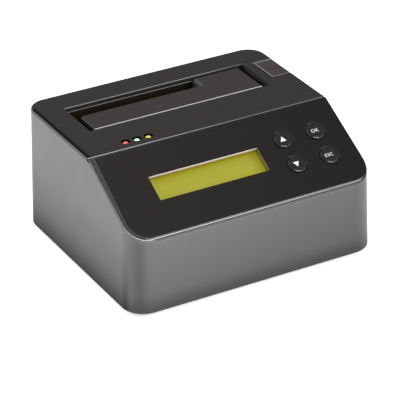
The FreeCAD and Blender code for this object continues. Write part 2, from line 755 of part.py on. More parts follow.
def shape_cover():
    """Black cover: deck and slope in one, its rim on the wall and its plate inside it."""
    rim = joined("Common", "cover_rim", outer_form,
                 band("rim_band", "0", "overlay_thickness", "rim_height", "rim_height"))
    plate = joined("Common", "cover_plate", inner_form,
                   band("plate_band", "0", "overlay_thickness", "cover_thickness",
                        "overlay_thickness + cover_thickness"))
    slab = joined("MultiFuse", "cover_slab", rim, plate)
    slab.Refine = True
    body = body_named("cover_shell", slab)
    deck = value("deck_z")
    side = value("base_width / 2 - body_height * tan(draft_angle) - rim_radius")
    rear = value("base_depth / 2 - body_height * tan(draft_angle) - rim_radius")
    corner_x = side - value("corner_radius")
    corner_y = rear - value("corner_radius")

    def rim_edge(edge):
        box = edge.BoundBox
        middle = box.Center
        around = abs(middle.x) > side or middle.y > rear
        around = around or (abs(middle.x) > corner_x and middle.y > corner_y)
        return box.ZMin > deck - TOUCH and around
    round_edges(body, rim_edge, "rim_radius")
    above = "deck_z + reach"
    opening = Drawing(body, "cover_opening", "XY_Plane", above)
    opening.rect("opening_left_x", "opening_right_x", "opening_front_y", "bay_rear_y")
    opening.rect("eject_x - eject_gap", "base_width / 2 + reach", "eject_front_y - eject_gap",
                 "eject_rear_y + eject_gap")
    for index in range(3):
        opening.circle("led_first_x + %d * led_pitch" % index, "led_y", "led_hole")
    opening.pocket("reach + 2 * cover_thickness - fit_gap")
    panel = Drawing(body, "cover_panel_holes", "XY_Plane", "reach", on_slope=True)
    panel.rect(*around_screen("lcd_window_width / 2", "lcd_window_height / 2"))
    for x, y in KEYS.values():
        sides = ["%s %s (key_diameter / 2 + key_gap)" % (spot, sign) for spot in (x, y) for sign in "-+"]
        panel.rect(*sides)
    panel.pocket("reach - cover_under_n + fit_gap")
    left = value("opening_left_x")
    right = value("opening_right_x")
    front = value("opening_front_y")
    back = value("bay_rear_y")

    def opening_edge(edge):
        box = edge.BoundBox
        inside = box.XMin > left - TOUCH and box.XMax < right + TOUCH
        inside = inside and box.YMin > front - TOUCH and box.YMax < back + TOUCH
        return inside and box.ZMin > deck - TOUCH
    round_edges(body, opening_edge, "opening_edge_radius")
    boss_z = "cover_under_z - ear_boss_height"
    boss_foot = "cover_thickness / 4"
    front_top = under_slope("post_front_y - post_diameter / 2", "cover_under_n")
    posts = [
        pegs("cover_rear_posts", POSTS[2:], "post_diameter", "cover_under_z - bottom_top_z + " + boss_foot,
             "bottom_top_z"),
        pegs("cover_front_posts", POSTS[:2], "post_diameter",
             front_top + " + cover_thickness / 2 - bottom_top_z", "bottom_top_z"),
        pegs("cover_bay_bosses", EARS, "ear_boss_diameter", "ear_boss_height + " + boss_foot, boss_z),
        pegs("cover_led_pillars", LED_HOLES, "panel_post_diameter",
             "cover_under_z - led_board_z + " + boss_foot, "led_board_z"),
    ]
    bores = [
        pegs("cover_post_bores", POSTS, "screw_hole", "post_bore_depth", "bottom_top_z"),
        pegs("cover_bay_bores", EARS, "screw_hole", "ear_boss_height - fit_gap", boss_z),
        pegs("cover_led_bores", LED_HOLES, "screw_hole", "cover_under_z - led_board_z - fit_gap",
             "led_board_z"),
    ]
    for name, spots, face in (("lcd", LCD_HOLES, "lcd_board_n"), ("key", KEY_HOLES, "key_board_n")):
        rise = "cover_under_n - (%s)" % face
        posts.append(pegs("cover_%s_pillars" % name, spots, "panel_post_diameter",
                          "%s + %s" % (rise, boss_foot), face, "slope"))
        bores.append(pegs("cover_%s_bores" % name, spots, "screw_hole", rise + " - fit_gap", face, "slope"))
    whole = joined("MultiFuse", "cover_whole", body, *posts)
    joined("Cut", "top_cover", whole, joined("Compound", "cover_bores", *bores))


def shape_overlay():
    """Glossy sheet over the slope with the screen's window and four key holes."""
    spots = (("slope_length", "0"), ("-2 * reach", "0"), ("-2 * reach", "-overlay_thickness"),
             ("slope_length", "-overlay_thickness"))
    layer = prism("overlay_band", [(slope_y(up, out), slope_z(up, out)) for up, out in spots])
    body = body_named("panel_overlay", joined("Common", "overlay_sheet", inset_form, layer))
    round_edges(body, on_slope_top, "overlay_bevel", "Chamfer")
    holes = Drawing(body, "overlay_holes", "XY_Plane", "reach", on_slope=True)
    holes.rect(*around_screen("lcd_window_width / 2", "lcd_window_height / 2"))
    for x, y in KEYS.values():
        holes.circle(x, y, "key_diameter + 2 * key_gap")
    holes.pocket("reach + 2 * overlay_thickness")
    moats = [Vector(value(x), value(slope_y(up, "0")), value(slope_z(up, "0"))) for x, up in KEYS.values()]
    near = value("key_gap")

    def moat_edge(edge):
        return on_slope_top(edge) and any((edge.BoundBox.Center - spot).Length < near for spot in moats)
    round_edges(body, moat_edge, "key_moat", "Chamfer")


def on_slope_top(edge):
    """True where every end of an edge lies in the sloping top face."""
    start = Vector(0, value("front_y"), value("front_z"))
    normal = Vector(0, -value("sin(slope_angle)"), value("cos(slope_angle)"))
    return all(abs((point.Point - start).dot(normal)) < TOUCH for point in edge.Vertexes)


def shape_bottom():
    """Bottom plate with seats for the feet, sunk screw heads, vents and board standoffs."""
    body = body_named("bottom_plate")
    inset = "wall + fit_gap"
    half_x = "base_width / 2 - (%s)" % inset
    half_y = "base_depth / 2 - (%s)" % inset
    plate = Drawing(body, "bottom_outline", "XY_Plane", "foot_height")
    plate.rect("-(%s)" % half_x, half_x, "-(%s)" % half_y, half_y, "corner_radius - (%s)" % inset)
    plate.pad("bottom_thickness - fit_gap / 2")
    vent = Drawing(body, "bottom_vent", "XY_Plane", "foot_height")
    vent.rect("-vent_length / 2", "vent_length / 2", "vent_front_y", "vent_front_y + vent_width")
    cut = vent.pocket("2 * bottom_thickness", back=True)
    row = body.newObject("PartDesign::LinearPattern", "bottom_vents")
    row.Originals = [cut]
    row.Direction = (vent.sketch, ["V_Axis"])
    bind(row, Length="vent_run", Occurrences="vent_count")
    body.Tip = row
    doc.recompute()
    stands = pegs("bottom_standoffs", BOARD_HOLES, "standoff_diameter",
                  "board_height - foot_height - bottom_thickness / 2", "foot_height + bottom_thickness / 2")
    whole = joined("MultiFuse", "bottom_whole", body, stands)
    seats = [
        pegs("bottom_foot_seats", FEET, "foot_diameter + 2 * fit_gap", "foot_sink", "foot_height",
             sides="foot_sides"),
        pegs("bottom_head_seats", POSTS, "screw_head_diameter + 4 * fit_gap", "screw_head_height",
             "foot_height"),
    ]
    bores = [
        pegs("bottom_standoff_bores", BOARD_HOLES, "screw_hole", "board_height - bottom_top_z - fit_gap",
             "bottom_top_z + fit_gap"),
        pegs("bottom_screw_bores", POSTS, "screw_hole", "2 * bottom_thickness", "foot_height"),
    ]
    sunk = joined("Cut", "bottom_sunk", whole, joined("Compound", "bottom_seats", *seats))
    joined("Cut", "bottom_cover", sunk, joined("Compound", "bottom_bores", *bores))


def shape_bay():
    """Drive guide hung under the cover: box, floor, guide ribs, ears, shelf and lever lugs."""
    body = body_named("bay_box")
    shell = Drawing(body, "bay_shell", "XY_Plane", "bay_floor_z - bay_floor")
    shell.rect("bay_left_x - bay_wall", "bay_right_x + bay_wall", "bay_front_y - bay_wall",
               "bay_back_y + bay_wall")
    shell.pad("bay_top_z - bay_floor_z + bay_floor")
    hollow = Drawing(body, "bay_hollow", "XY_Plane", "bay_floor_z")
    hollow.rect("bay_left_x", "bay_right_x", "bay_front_y", "bay_back_y")
    hollow.pocket("bay_depth", back=True)
    guide = "hinge_y + hinge_drop - flap_sink"
    ribs = Drawing(body, "bay_ribs", "XY_Plane", "bay_floor_z - bay_floor / 2")
    front = "bay_front_y - bay_wall / 2"
    ribs.rect("bay_left_x - bay_wall / 2", "bay_left_x + guide_rib_width", front, guide)
    ribs.rect("bay_right_x - guide_rib_width", "bay_right_x + bay_wall / 2", front, guide)
    ribs.pad("hinge_z - hinge_barrel - bay_floor_z + bay_floor / 2")
    ears = Drawing(body, "bay_ears", "XY_Plane", "ear_seat_z")
    for index, (x, y) in enumerate(EARS):
        inner, outer = ("bay_wall / 2", "0") if index < 2 else ("0", "bay_wall / 2")
        ears.rect("%s - ear_size / 2 - (%s)" % (x, outer), "%s + ear_size / 2 + (%s)" % (x, inner),
                  "%s - ear_size / 2" % y, "%s + ear_size / 2" % y)
    ears.pad("ear_thickness")
    shelf = Drawing(body, "bay_shelf", "XY_Plane", "shelf_height - shelf_thickness")
    shelf.rect("bay_right_x + bay_wall / 2", "eject_inner_x - fit_gap", "lever_center_y - lever_width",
               "lever_center_y + lever_width")
    shelf.pad("shelf_thickness")
    bore = Drawing(body, "bay_shelf_bore", "XY_Plane", "shelf_height")
    bore.circle("stem_x", "lever_center_y", "stem_diameter + 2 * fit_gap")
    bore.pocket("2 * shelf_thickness")
    lugs = Drawing(body, "bay_lugs", "XY_Plane", "lever_pivot_height - lug_width / 2")
    for edge, sign in (("lever_front_y - fit_gap", "-1"), ("lever_rear_y + fit_gap", "1")):
        near, far = edge, "%s + %s * lug_thickness" % (edge, sign)
        low, high = (far, near) if sign == "-1" else (near, far)
        lugs.rect("lever_pivot_x - lug_width / 2", "lever_pivot_x + lug_width / 2", low, high)
    lugs.pad("bay_floor_z - lever_pivot_height + lug_width / 2 - bay_floor / 2")
    pivot = Drawing(body, "bay_pivot_bore", "XZ_Plane", "-(lever_rear_y + 2 * lug_thickness)")
    pivot.circle("lever_pivot_x", "lever_pivot_height", "lever_pin_diameter + pin_clearance")
    pivot.pocket("lever_width + 4 * lug_thickness", back=True)
    floor = Drawing(body, "bay_floor_slots", "XY_Plane", "bay_floor_z + fit_gap")
    floor.rect("sata_left_x - fit_gap", "sata_right_x + fit_gap", "sata_y - sata_width / 2 - fit_gap",
               "sata_y + sata_width / 2 + fit_gap")
    floor.rect("lever_inner_x - lever_slot_play", "lever_pivot_x - lug_width", "lever_front_y - 2 * fit_gap",
               "lever_rear_y + 2 * fit_gap")
    floor.pocket("2 * bay_floor")
    hinge = Drawing(body, "bay_hinge_bore", "YZ_Plane", "bay_left_x - 2 * bay_wall")
    hinge.circle("hinge_y", "hinge_z", "hinge_pin + pin_clearance")
    hinge.pocket("bay_right_x - bay_left_x + 4 * bay_wall", back=True)
    window = Drawing(body, "bay_windows", "XZ_Plane", "-(bay_front_y - 2 * bay_wall)")
    for index in range(4):
        middle = "bay_center_x + (%d) * window_pitch / 2" % (index * 2 - 3)
        low = "bay_floor_z + window_low"
        window.rect(middle + " - window_width / 2", middle + " + window_width / 2", low,
                    low + " + window_height")
    window.pocket("4 * bay_wall")
    bores = pegs("bay_ear_bores", EARS, "screw_hole", "ear_thickness", "ear_seat_z")
    joined("Cut", "bay_frame", body, bores)


def shape_flap():
    """Spring flap: plate with the small-drive notch, skirts, hinge arms and barrels."""
    body = body_named("flap_plate")
    plate = Drawing(body, "flap_outline", "XY_Plane", "flap_low_z")
    plate.outline([("flap_left_x", "flap_front_y"), ("flap_right_x", "flap_front_y"),
                   ("flap_right_x", "flap_rear_y"), ("notch_right_x", "flap_rear_y"),
                   ("notch_right_x", "notch_front_y"), ("flap_left_x", "notch_front_y")],
                  {5: "flap_corner_radius"})
    plate.pad("flap_thickness")
    skirt = Drawing(body, "flap_skirt", "XY_Plane", "skirt_low_z")
    far_x = "notch_right_x + skirt_thickness"
    near_x = "flap_left_x + flap_corner_radius"
    near_y = "notch_front_y - skirt_thickness"
    skirt.outline([(near_x, near_y), (far_x, near_y), (far_x, "flap_rear_y"),
                   ("notch_right_x", "flap_rear_y"), ("notch_right_x", "notch_front_y"),
                   (near_x, "notch_front_y")])
    skirt.pad("skirt_depth - flap_thickness / 2")
    top = value("flap_top_z")
    bevel_x = value("notch_right_x")

    def notch_edge(edge):
        box = edge.BoundBox
        return box.ZMin > top - TOUCH and abs(box.XMin - bevel_x) < TOUCH and box.XLength < TOUCH
    round_edges(body, notch_edge, "notch_bevel", "Chamfer")

    bevel_zone = value("2 * notch_bevel")

    def top_edge(edge):
        return edge.BoundBox.ZMin > top - TOUCH and abs(edge.BoundBox.Center.x - bevel_x) > bevel_zone
    round_edges(body, top_edge, "flap_edge_radius")
    made = [body]
    starts = {"left": "flap_left_x + arm_inset", "right": "flap_right_x - arm_inset - arm_width"}
    for name, start in starts.items():
        made.append(block("flap_arm_" + name, start, "%s + arm_width" % start, "hinge_y",
                          "hinge_y + arm_reach", "flap_low_z - arm_thickness + fit_gap",
                          "flap_low_z + fit_gap"))
        made.append(rod("flap_barrel_" + name, "hinge_barrel", "arm_width", start, "hinge_y",
                        "hinge_z", "X"))
    whole = joined("MultiFuse", "flap_whole", *made)
    bore = rod("flap_bore", "hinge_pin + pin_clearance", "flap_right_x - flap_left_x", "flap_left_x",
               "hinge_y", "hinge_z", "X")
    joined("Cut", "drive_flap", whole, bore)
    rod("flap_pin", "hinge_pin", "bay_right_x - bay_left_x + 2 * bay_wall", "bay_left_x - bay_wall",
        "hinge_y", "hinge_z", "X")


def coil(label, diameter, wire, pitch, height):
    """A square wire wound on a helix along Z."""
    path = doc.addObject("Part::Helix", label + "_path")
    bind(path, Pitch=pitch, Height=height, Radius="(%s) / 2" % diameter)
    ring = doc.addObject("Part::RegularPolygon", label + "_wire")
    ring.Polygon = 4
    bind(ring, Circumradius="(%s) / 2" % wire)
    place(ring, "(%s) / 2" % diameter, "0", "0", Vector(1, 0, 0), "90")
    item = doc.addObject("Part::Sweep", label)
    item.Label = label
    item.Sections = [ring]
    item.Spine = (path, ["Edge1"])
    item.Solid = True
    item.Frenet = True
    return item


def shape_springs():
    flap = coil("flap_coil", "flap_coil_diameter", "spring_wire", "coil_spread * spring_wire",
                "flap_coil_length")
    place(flap, "flap_coil_x", "hinge_y", "hinge_z", Vector(0, 1, 0), "90")
    joined("Compound", "flap_spring", flap)
    low = "shelf_height + fit_gap + spring_wire / 2"
    high = "(eject_top_z - eject_cap_wall - fit_gap - spring_wire / 2)"
    rise = "(%s - (%s))" % (high, low)
    eject = coil("eject_coil", "eject_coil_diameter", "spring_wire", rise + " / eject_coil_turns", rise)
    place(eject, "stem_x", "lever_center_y", low)
    joined("Compound", "eject_spring", eject)


def shape_eject():
    """Eject key in the right edge, with its stem, and the lever that lifts the drive."""
    limits = block("eject_limits", "eject_x", "base_width / 2", "eject_front_y", "eject_rear_y",
                   "eject_low_z", "eject_top_z")
    cap = joined("Common", "eject_block", inset_form, limits)
    body = body_named("eject_cap", cap)
    top = value("eject_top_z")

    def cap_edge(edge):
        return edge.BoundBox.ZMin > top - TOUCH
    round_edges(body, cap_edge, "eject_edge_radius")
    hollow = Drawing(body, "eject_hollow", "XY_Plane", "eject_low_z")
    hollow.rect("eject_x + eject_cap_wall", "eject_inner_x", "eject_front_y + eject_cap_wall",
                "eject_rear_y - eject_cap_wall")
    hollow.pocket("eject_top_z - eject_low_z - eject_cap_wall", back=True)
    stem = rod("eject_stem", "stem_diameter", "eject_top_z - eject_cap_wall / 2 - lever_top_z - fit_gap",
               "stem_x", "lever_center_y", "lever_top_z + fit_gap")
    apron = block("eject_apron_plate", "eject_inner_x - eject_cap_wall", "eject_inner_x",
                  "eject_front_y + eject_gap", "eject_rear_y - eject_gap", "eject_low_z - eject_apron",
                  "eject_low_z + eject_cap_wall")
    joined("MultiFuse", "eject_button", body, stem, apron)
    lever = body_named("lever_arm")
    side = Drawing(lever, "lever_side", "XZ_Plane", "-lever_rear_y")
    low = "lever_pivot_height - lever_thickness / 2"
    nose = "bay_floor_z - fit_gap"
    side.outline([("lever_inner_x", low), ("lever_outer_x", low), ("lever_outer_x", "lever_top_z"),
                  ("lever_inner_x + 2 * lever_nose", "lever_top_z"), ("lever_inner_x + lever_nose", nose),
                  ("lever_inner_x", nose)], {5: "lever_nose / 4"})
    side.pad("lever_width")
    hub = rod("lever_hub_rod", "lever_hub", "lever_width", "lever_pivot_x", "lever_front_y",
              "lever_pivot_height", "Y")
    whole = joined("MultiFuse", "lever_whole", lever, hub)
    bore = rod("lever_bore", "lever_pin_diameter + pin_clearance", "lever_width", "lever_pivot_x",
               "lever_front_y", "lever_pivot_height", "Y")
    joined("Cut", "eject_lever", whole, bore)
    rod("lever_pin", "lever_pin_diameter", "lever_width + 2 * fit_gap + 2 * lug_thickness", "lever_pivot_x",
        "lever_front_y - fit_gap - lug_thickness", "lever_pivot_height", "Y")


def shape_board():
    """Main board with its socket, chips and cable headers."""
    plate = block("board_plate", "board_left_x", "board_right_x", "board_front_y", "board_rear_y",
                  "board_height", "board_top_z")
    holes = pegs("board_holes", BOARD_HOLES, "screw_hole", "board_thickness", "board_height")
    joined("Cut", "main_board", plate, holes)
    screws("board_screws", BOARD_HOLES, "board_top_z", "short_screw_length", up=False)
    for label, name in (("controller_chip", "chip"), ("bridge_chip", "bridge")):
        low = "%s_%s - %s_size / 2"
        high = "%s_%s + %s_size / 2"
        block(label, low % (name, "x", name), high % (name, "x", name), low % (name, "y", name),
              high % (name, "y", name), "board_top_z", "board_top_z + %s_height" % name)
    made = []
    cables = (("panel", "cable_left_x", "cable_width"), ("key", "key_cable_left_x", "key_cable_width"))
    for name, left, width in cables:
        made.append(block(name + "_header", left, "%s + %s" % (left, width),
                          "cable_low_y - header_depth / 2", "cable_low_y + header_depth / 2",
                          "board_top_z", "header_z"))
        cable = body_named(name + "_cable")
        strip = Drawing(cable, name + "_cable_side", "YZ_Plane", left)
        back = "panel_back_n" if name == "panel" else "key_board_back_n"
        high = under_slope("cable_top_y", back) + " - fit_gap - cable_thickness"
        near = "cable_top_y - cable_thickness / 2"
        far = "cable_top_y + cable_thickness / 2"
        low_near = "cable_low_y - cable_thickness / 2"
        low_far = "cable_low_y + cable_thickness / 2"
        strip.outline([(near, "cable_upper_bend"), (low_near, "cable_lower_bend"), (low_near, "header_z"),
                       (low_far, "header_z"), (low_far, "cable_lower_bend + cable_thickness / 2"),
                       (far, "cable_upper_bend + cable_thickness / 2"), (far, high), (near, high)])
        strip.pad(width)
    joined("Compound", "cable_headers", *made)


def shape_sata():
    """Drive socket on the board, reaching through the bay floor, and its contacts."""
    body = body_named("sata_socket")
    base = Drawing(body, "sata_base", "XY_Plane", "board_top_z")
    base.rect("sata_left_x", "sata_right_x", "sata_y - sata_width / 2", "sata_y + sata_width / 2")
    base.pad("sata_top_z - board_top_z")
    slots = Drawing(body, "sata_slots", "XY_Plane", "sata_top_z")
    low = "sata_y - sata_slot_width / 2"
    high = "sata_y + sata_slot_width / 2"
    first = "sata_left_x + sata_end_margin"
    starts = (first, "%s + sata_power_slot + sata_key_gap" % first)
    for start, length in zip(starts, ("sata_power_slot", "sata_data_slot")):
        end = "%s + %s" % (start, length)
        foot = "%s + sata_slot_width" % high
        inner = "%s - sata_slot_width" % end
        slots.outline([(start, low), (end, low), (end, foot), (inner, foot), (inner, high), (start, high)])
    slots.pocket("sata_slot_depth")
    made = []
    for start, count in zip(starts, (15, 7)):
        for index in range(count):
            x = "%s + contact_pitch * %d + contact_width" % (start, index)
            made.append(block("contact_%d" % (len(made) + 1), x, "%s + contact_width" % x, low,
                              "%s + contact_thickness" % low, "sata_top_z - sata_slot_depth",
                              "sata_top_z - sata_slot_depth + contact_height"))
    joined("Compound", "sata_contacts", *made)


def around_screen(half_x, half_y):
    """The four sides of a rectangle centred on the screen."""
    return ("lcd_center_x - (%s)" % half_x, "lcd_center_x + (%s)" % half_x,
            "lcd_center_up - (%s)" % half_y, "lcd_center_up + (%s)" % half_y)


def shape_screen():
    """Screen under the window: board, metal bezel, light block and glass."""
    plate = block("lcd_board_plate", *around_screen("lcd_board_width / 2", "lcd_board_height / 2"),
                  "panel_back_n", "lcd_board_n", on_slope=True)
    holes = pegs("lcd_board_holes", LCD_HOLES, "screw_hole", "board_thickness", "panel_back_n", "slope")
    joined("Cut", "lcd_board", plate, holes)
    bezel = body_named("lcd_bezel")
    frame = Drawing(bezel, "lcd_bezel_frame")
    half_x = "lcd_bezel_width / 2"
    half_y = "lcd_bezel_height / 2"
    frame.rect(*around_screen(half_x, half_y))
    frame.pad("lcd_bezel_depth")
    inside = Drawing(bezel, "lcd_bezel_inside")
    inside.rect(*around_screen(half_x + " - lcd_bezel_sheet", half_y + " - lcd_bezel_sheet"))
    inside.pocket("lcd_bezel_depth - lcd_bezel_sheet", back=True)
    view = Drawing(bezel, "lcd_bezel_view")
    view.rect(*around_screen("lcd_view_width / 2", "lcd_view_height / 2"))
    view.pocket("2 * lcd_bezel_depth", back=True)
    place_on_slope(bezel, "0", "0", "lcd_board_n")
    top = "lcd_top_n - lcd_bezel_sheet - fit_gap / 2"
    sides = around_screen(half_x + " - lcd_bezel_sheet - fit_gap", half_y + " - lcd_bezel_sheet - fit_gap")
    block("lcd_glass", *sides, "%s - lcd_glass_thickness" % top, top, on_slope=True)
    block("lcd_backlight", *sides, "lcd_board_n", "%s - lcd_glass_thickness" % top, on_slope=True)
    screws("lcd_screws", LCD_HOLES, "panel_back_n", "short_screw_length", "slope")


def shape_keys():
    """Four round keys, the switches under them and their board."""
    plate = block("key_board_plate", "key_board_left_x", "key_board_right_x", "key_board_lower",
                  "key_board_upper", "key_board_back_n", "key_board_n", on_slope=True)
    holes = pegs("key_board_holes", KEY_HOLES, "screw_hole", "board_thickness", "key_board_back_n", "slope")
    joined("Cut", "key_board", plate, holes)
    screws("key_screws", KEY_HOLES, "key_board_back_n", "short_screw_length", "slope")
    switches = []
    for name, (x, y) in KEYS.items():
        base = block(name + "_switch_base", x + " - switch_size / 2", x + " + switch_size / 2",
                     y + " - switch_size / 2", y + " + switch_size / 2", "key_board_n", "switch_top_n",
                     on_slope=True)
        well = peg(name + "_switch_well", "plunger_diameter + 2 * fit_gap",
                   "2 * plunger_depth + plunger_rise", x, y, "switch_top_n - 2 * plunger_depth", "slope")
        switches.append(joined("Cut", name + "_switch", base, well))
        peg(name + "_plunger", "plunger_diameter", "plunger_depth + plunger_rise", x, y,
            "switch_top_n - plunger_depth", "slope")
        flange_low = "key_flange_n - key_flange_thickness"
        cap = body_named(name + "_cap")
        half = Drawing(cap, name + "_cap_half", "XZ_Plane")
        half.outline([("0", "key_flange_n"), ("key_diameter / 2", "key_flange_n"),
                      ("key_diameter / 2", "key_proud - key_edge_bevel"),
                      ("key_diameter / 2 - key_edge_bevel", "key_proud"), ("0", "key_proud")])
        half.revolve()
        place_on_slope(cap, x, y, "0")
        flange = block(name + "_flange", x + " - key_flange / 2", x + " + key_flange / 2",
                       y + " - key_flange / 2", y + " + key_flange / 2", flange_low, "key_flange_n",
                       on_slope=True)
        stem = peg(name + "_stem", "key_stem", "key_stem_length", x, y, "key_stem_n", "slope")
        joined("MultiFuse", name + "_button", cap, flange, stem)
    joined("Compound", "tact_switches", *switches)


def shape_lamps():
    """Three round lamps standing in the deck's holes on a small board."""
    half_x = "led_board_width / 2"
    half_y = "led_board_depth / 2"
    plate = block("led_board_plate", "led_center_x - " + half_x, "led_center_x + " + half_x,
                  "led_y - " + half_y, "led_y + " + half_y, "led_back_z", "led_board_z")
    holes = pegs("led_board_holes", LED_HOLES, "screw_hole", "board_thickness", "led_back_z")
    joined("Cut", "led_board", plate, holes)
    screws("led_screws", LED_HOLES, "led_back_z", "short_screw_length")
    for index, name in enumerate(("red_led", "green_led", "yellow_led")):
        lamp = body_named(name + "_dome")
        half = Drawing(lamp, name + "_half", "XZ_Plane")
        half.outline([("0", "0"), ("led_diameter / 2", "0"),
                      ("led_diameter / 2", "led_body - led_dome_radius"),
                      ("led_diameter / 2 - led_dome_radius * (1 - cos(45))",
                       "led_body - led_dome_radius * (1 - sin(45))"),
                      ("led_diameter / 2 - led_dome_radius", "led_body"), ("0", "led_body")])
        half.revolve()
        x = "led_first_x + %d * led_pitch" % index
        place(lamp, x, "led_y", "led_foot_z")
        flange = peg(name + "_flange", "led_diameter + 2 * fit_gap", "led_flange", x, "led_y", "led_foot_z")
        leads = []
        for side in ("-1", "1"):
            left = "%s + %s * led_lead_pitch / 2 - led_lead / 2" % (x, side)
            leads.append(block("%s_lead_%d" % (name, len(leads)), left, left + " + led_lead",
                               "led_y - led_lead / 2", "led_y + led_lead / 2", "led_board_z",
                               "led_foot_z + led_flange / 2"))
        joined("MultiFuse", name, lamp, flange, *leads)


def shape_ports():
    """Rear sockets on the board and the rocker switch in the rear wall."""
    usb = body_named("usb_socket")
    front = Drawing(usb, "usb_front", "XZ_Plane", "-port_face_y")
    half = "usb_width / 2"
    front.rect("usb_x - " + half, "usb_x + " + half, "board_top_z", "board_top_z + usb_height", "usb_shell")
    front.pad("usb_length")
    well = Drawing(usb, "usb_well", "XZ_Plane", "-port_face_y")
    left = "usb_x - %s + usb_margin" % half
    right = "usb_x + %s - usb_margin" % half
    low = "board_top_z + usb_margin"
    high = "board_top_z + usb_height - usb_margin"
    shoulder = "%s - usb_bevel" % high
    well.outline([(left, low), (right, low), (right, shoulder), ("%s - usb_bevel" % right, high),
                  ("%s + usb_bevel" % left, high), (left, shoulder)])
    well.pocket("usb_depth", back=True)
    middle = "(board_top_z + usb_height / 2)"
    block("usb_tongue", "usb_x - usb_tongue_width / 2", "usb_x + usb_tongue_width / 2",
          "port_face_y - usb_depth", "port_face_y - usb_margin", middle + " - usb_tongue_height / 2",
          middle + " + usb_tongue_height / 2")
    jack = body_named("dc_jack")
    front = Drawing(jack, "dc_front", "XZ_Plane", "-port_face_y")
    half = "dc_width / 2"
    front.rect("dc_x - " + half, "dc_x + " + half, "board_top_z", "board_top_z + dc_height", "usb_shell")
    front.pad("dc_length")
    well = Drawing(jack, "dc_well", "XZ_Plane", "-port_face_y")
    middle = "board_top_z + dc_height / 2"
    well.circle("dc_x", middle, "dc_bore")
    well.pocket("dc_depth", back=True)
    rod("dc_pin", "dc_pin_diameter", "dc_depth - usb_margin", "dc_x", "port_face_y - dc_depth", middle, "Y")
    frame = body_named("power_switch")
    bezel = Drawing(frame, "switch_bezel", "XZ_Plane")
    half_x = "rocker_bezel_width / 2"
    half_z = "rocker_bezel_height / 2"
    bezel.rect("-" + half_x, half_x, "-" + half_z, half_z, "rocker_frame")
    bezel.pad("rocker_bezel_thickness", back=True)
    case = Drawing(frame, "switch_case", "XZ_Plane")
    half_x = "rocker_body_width / 2"
    half_z = "rocker_body_height / 2"
    case.rect("-" + half_x, half_x, "-" + half_z, half_z)
    case.pad("rocker_body_depth")
    well = Drawing(frame, "switch_well", "XZ_Plane", "-rocker_bezel_thickness")
    half_x = "(rocker_body_width / 2 - rocker_frame)"
    half_z = "(rocker_body_height / 2 - rocker_frame)"
    well.rect("-" + half_x, half_x, "-" + half_z, half_z)
    well.pocket("rocker_bezel_thickness + rocker_body_depth - rocker_frame", back=True)
    place(frame, "switch_x", "switch_face_y", "switch_up", Vector(1, 0, 0), "draft_angle")
    rocker = body_named("power_rocker")
    side = Drawing(rocker, "rocker_side", "YZ_Plane", "fit_gap - %s" % half_x)
    tip = "(%s - 3 * fit_gap)" % half_z
    face = "(rocker_pivot_depth + rocker_proud)"
    back = "-rocker_back"
    side.outline([(back, "-(%s - rocker_back)" % tip), (face, "-" + tip), ("%s - rocker_dish" % face, "0"),
                  (face, tip), (back, "%s - rocker_back" % tip)])
    side.pad("2 * %s - 2 * fit_gap" % half_x)
    place(rocker, "switch_x", "switch_face_y - rocker_pivot_depth * cos(draft_angle)",
          "switch_up - rocker_pivot_depth * sin(draft_angle)", Vector(1, 0, 0), "draft_angle + rocker_tilt")


shape_housing()
shape_cover()
shape_overlay()
shape_bottom()
pegs("rubber_feet", FEET, "foot_diameter", "foot_height + foot_sink", "0", sides="foot_sides")
screws("housing_screws", POSTS, "foot_height + screw_head_height", "screw_length")
shape_bay()
screws("bay_screws", EARS, "ear_seat_z", "short_screw_length")
shape_flap()
shape_springs()
shape_eject()
shape_board()
shape_sata()
shape_screen()
shape_keys()
shape_lamps()
shape_ports()
doc.recompute()

NODES = """main_housing top_cover panel_overlay bottom_cover rubber_feet housing_screws bay_frame bay_screws
drive_flap flap_pin flap_spring eject_button eject_lever lever_pin eject_spring main_board board_screws
controller_chip bridge_chip cable_headers panel_cable key_cable sata_socket sata_contacts lcd_board lcd_bezel
lcd_glass lcd_backlight lcd_screws key_board key_screws tact_switches up_plunger down_plunger ok_plunger
esc_plunger up_button down_button ok_button esc_button led_board led_screws red_led green_led yellow_led
usb_socket usb_tongue dc_jack dc_pin power_switch power_rocker""".split()

for item in doc.Objects:
    if "Invalid" in item.State or "Error" in item.State:
        raise RuntimeError("%s did not build: %s" % (item.Label, item.State))
for label in NODES:
    piece = doc.getObjectsByLabel(label)[0]
    if piece.Shape.isNull() or not piece.Shape.isValid() or not piece.Shape.Solids:
        raise RuntimeError("%s has no sound solid" % label)
    piece.Shape.exportStep("parts/%s.step" % label)
print("wrote", len(NODES), "pieces")
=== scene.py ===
# %% [markdown]
# # A drive eraser dock, dressed for its picture
# The solid model arrives as a fixed frame: every housing wall, key and hinge already has its true
# size and place. This lesson gives each surface its finish, adds the small printed and moulded
# details, and lights the dock as in a plain studio.

# %% Load the solid model
import math

import bmesh
import bpy
from mathutils import Matrix, Vector


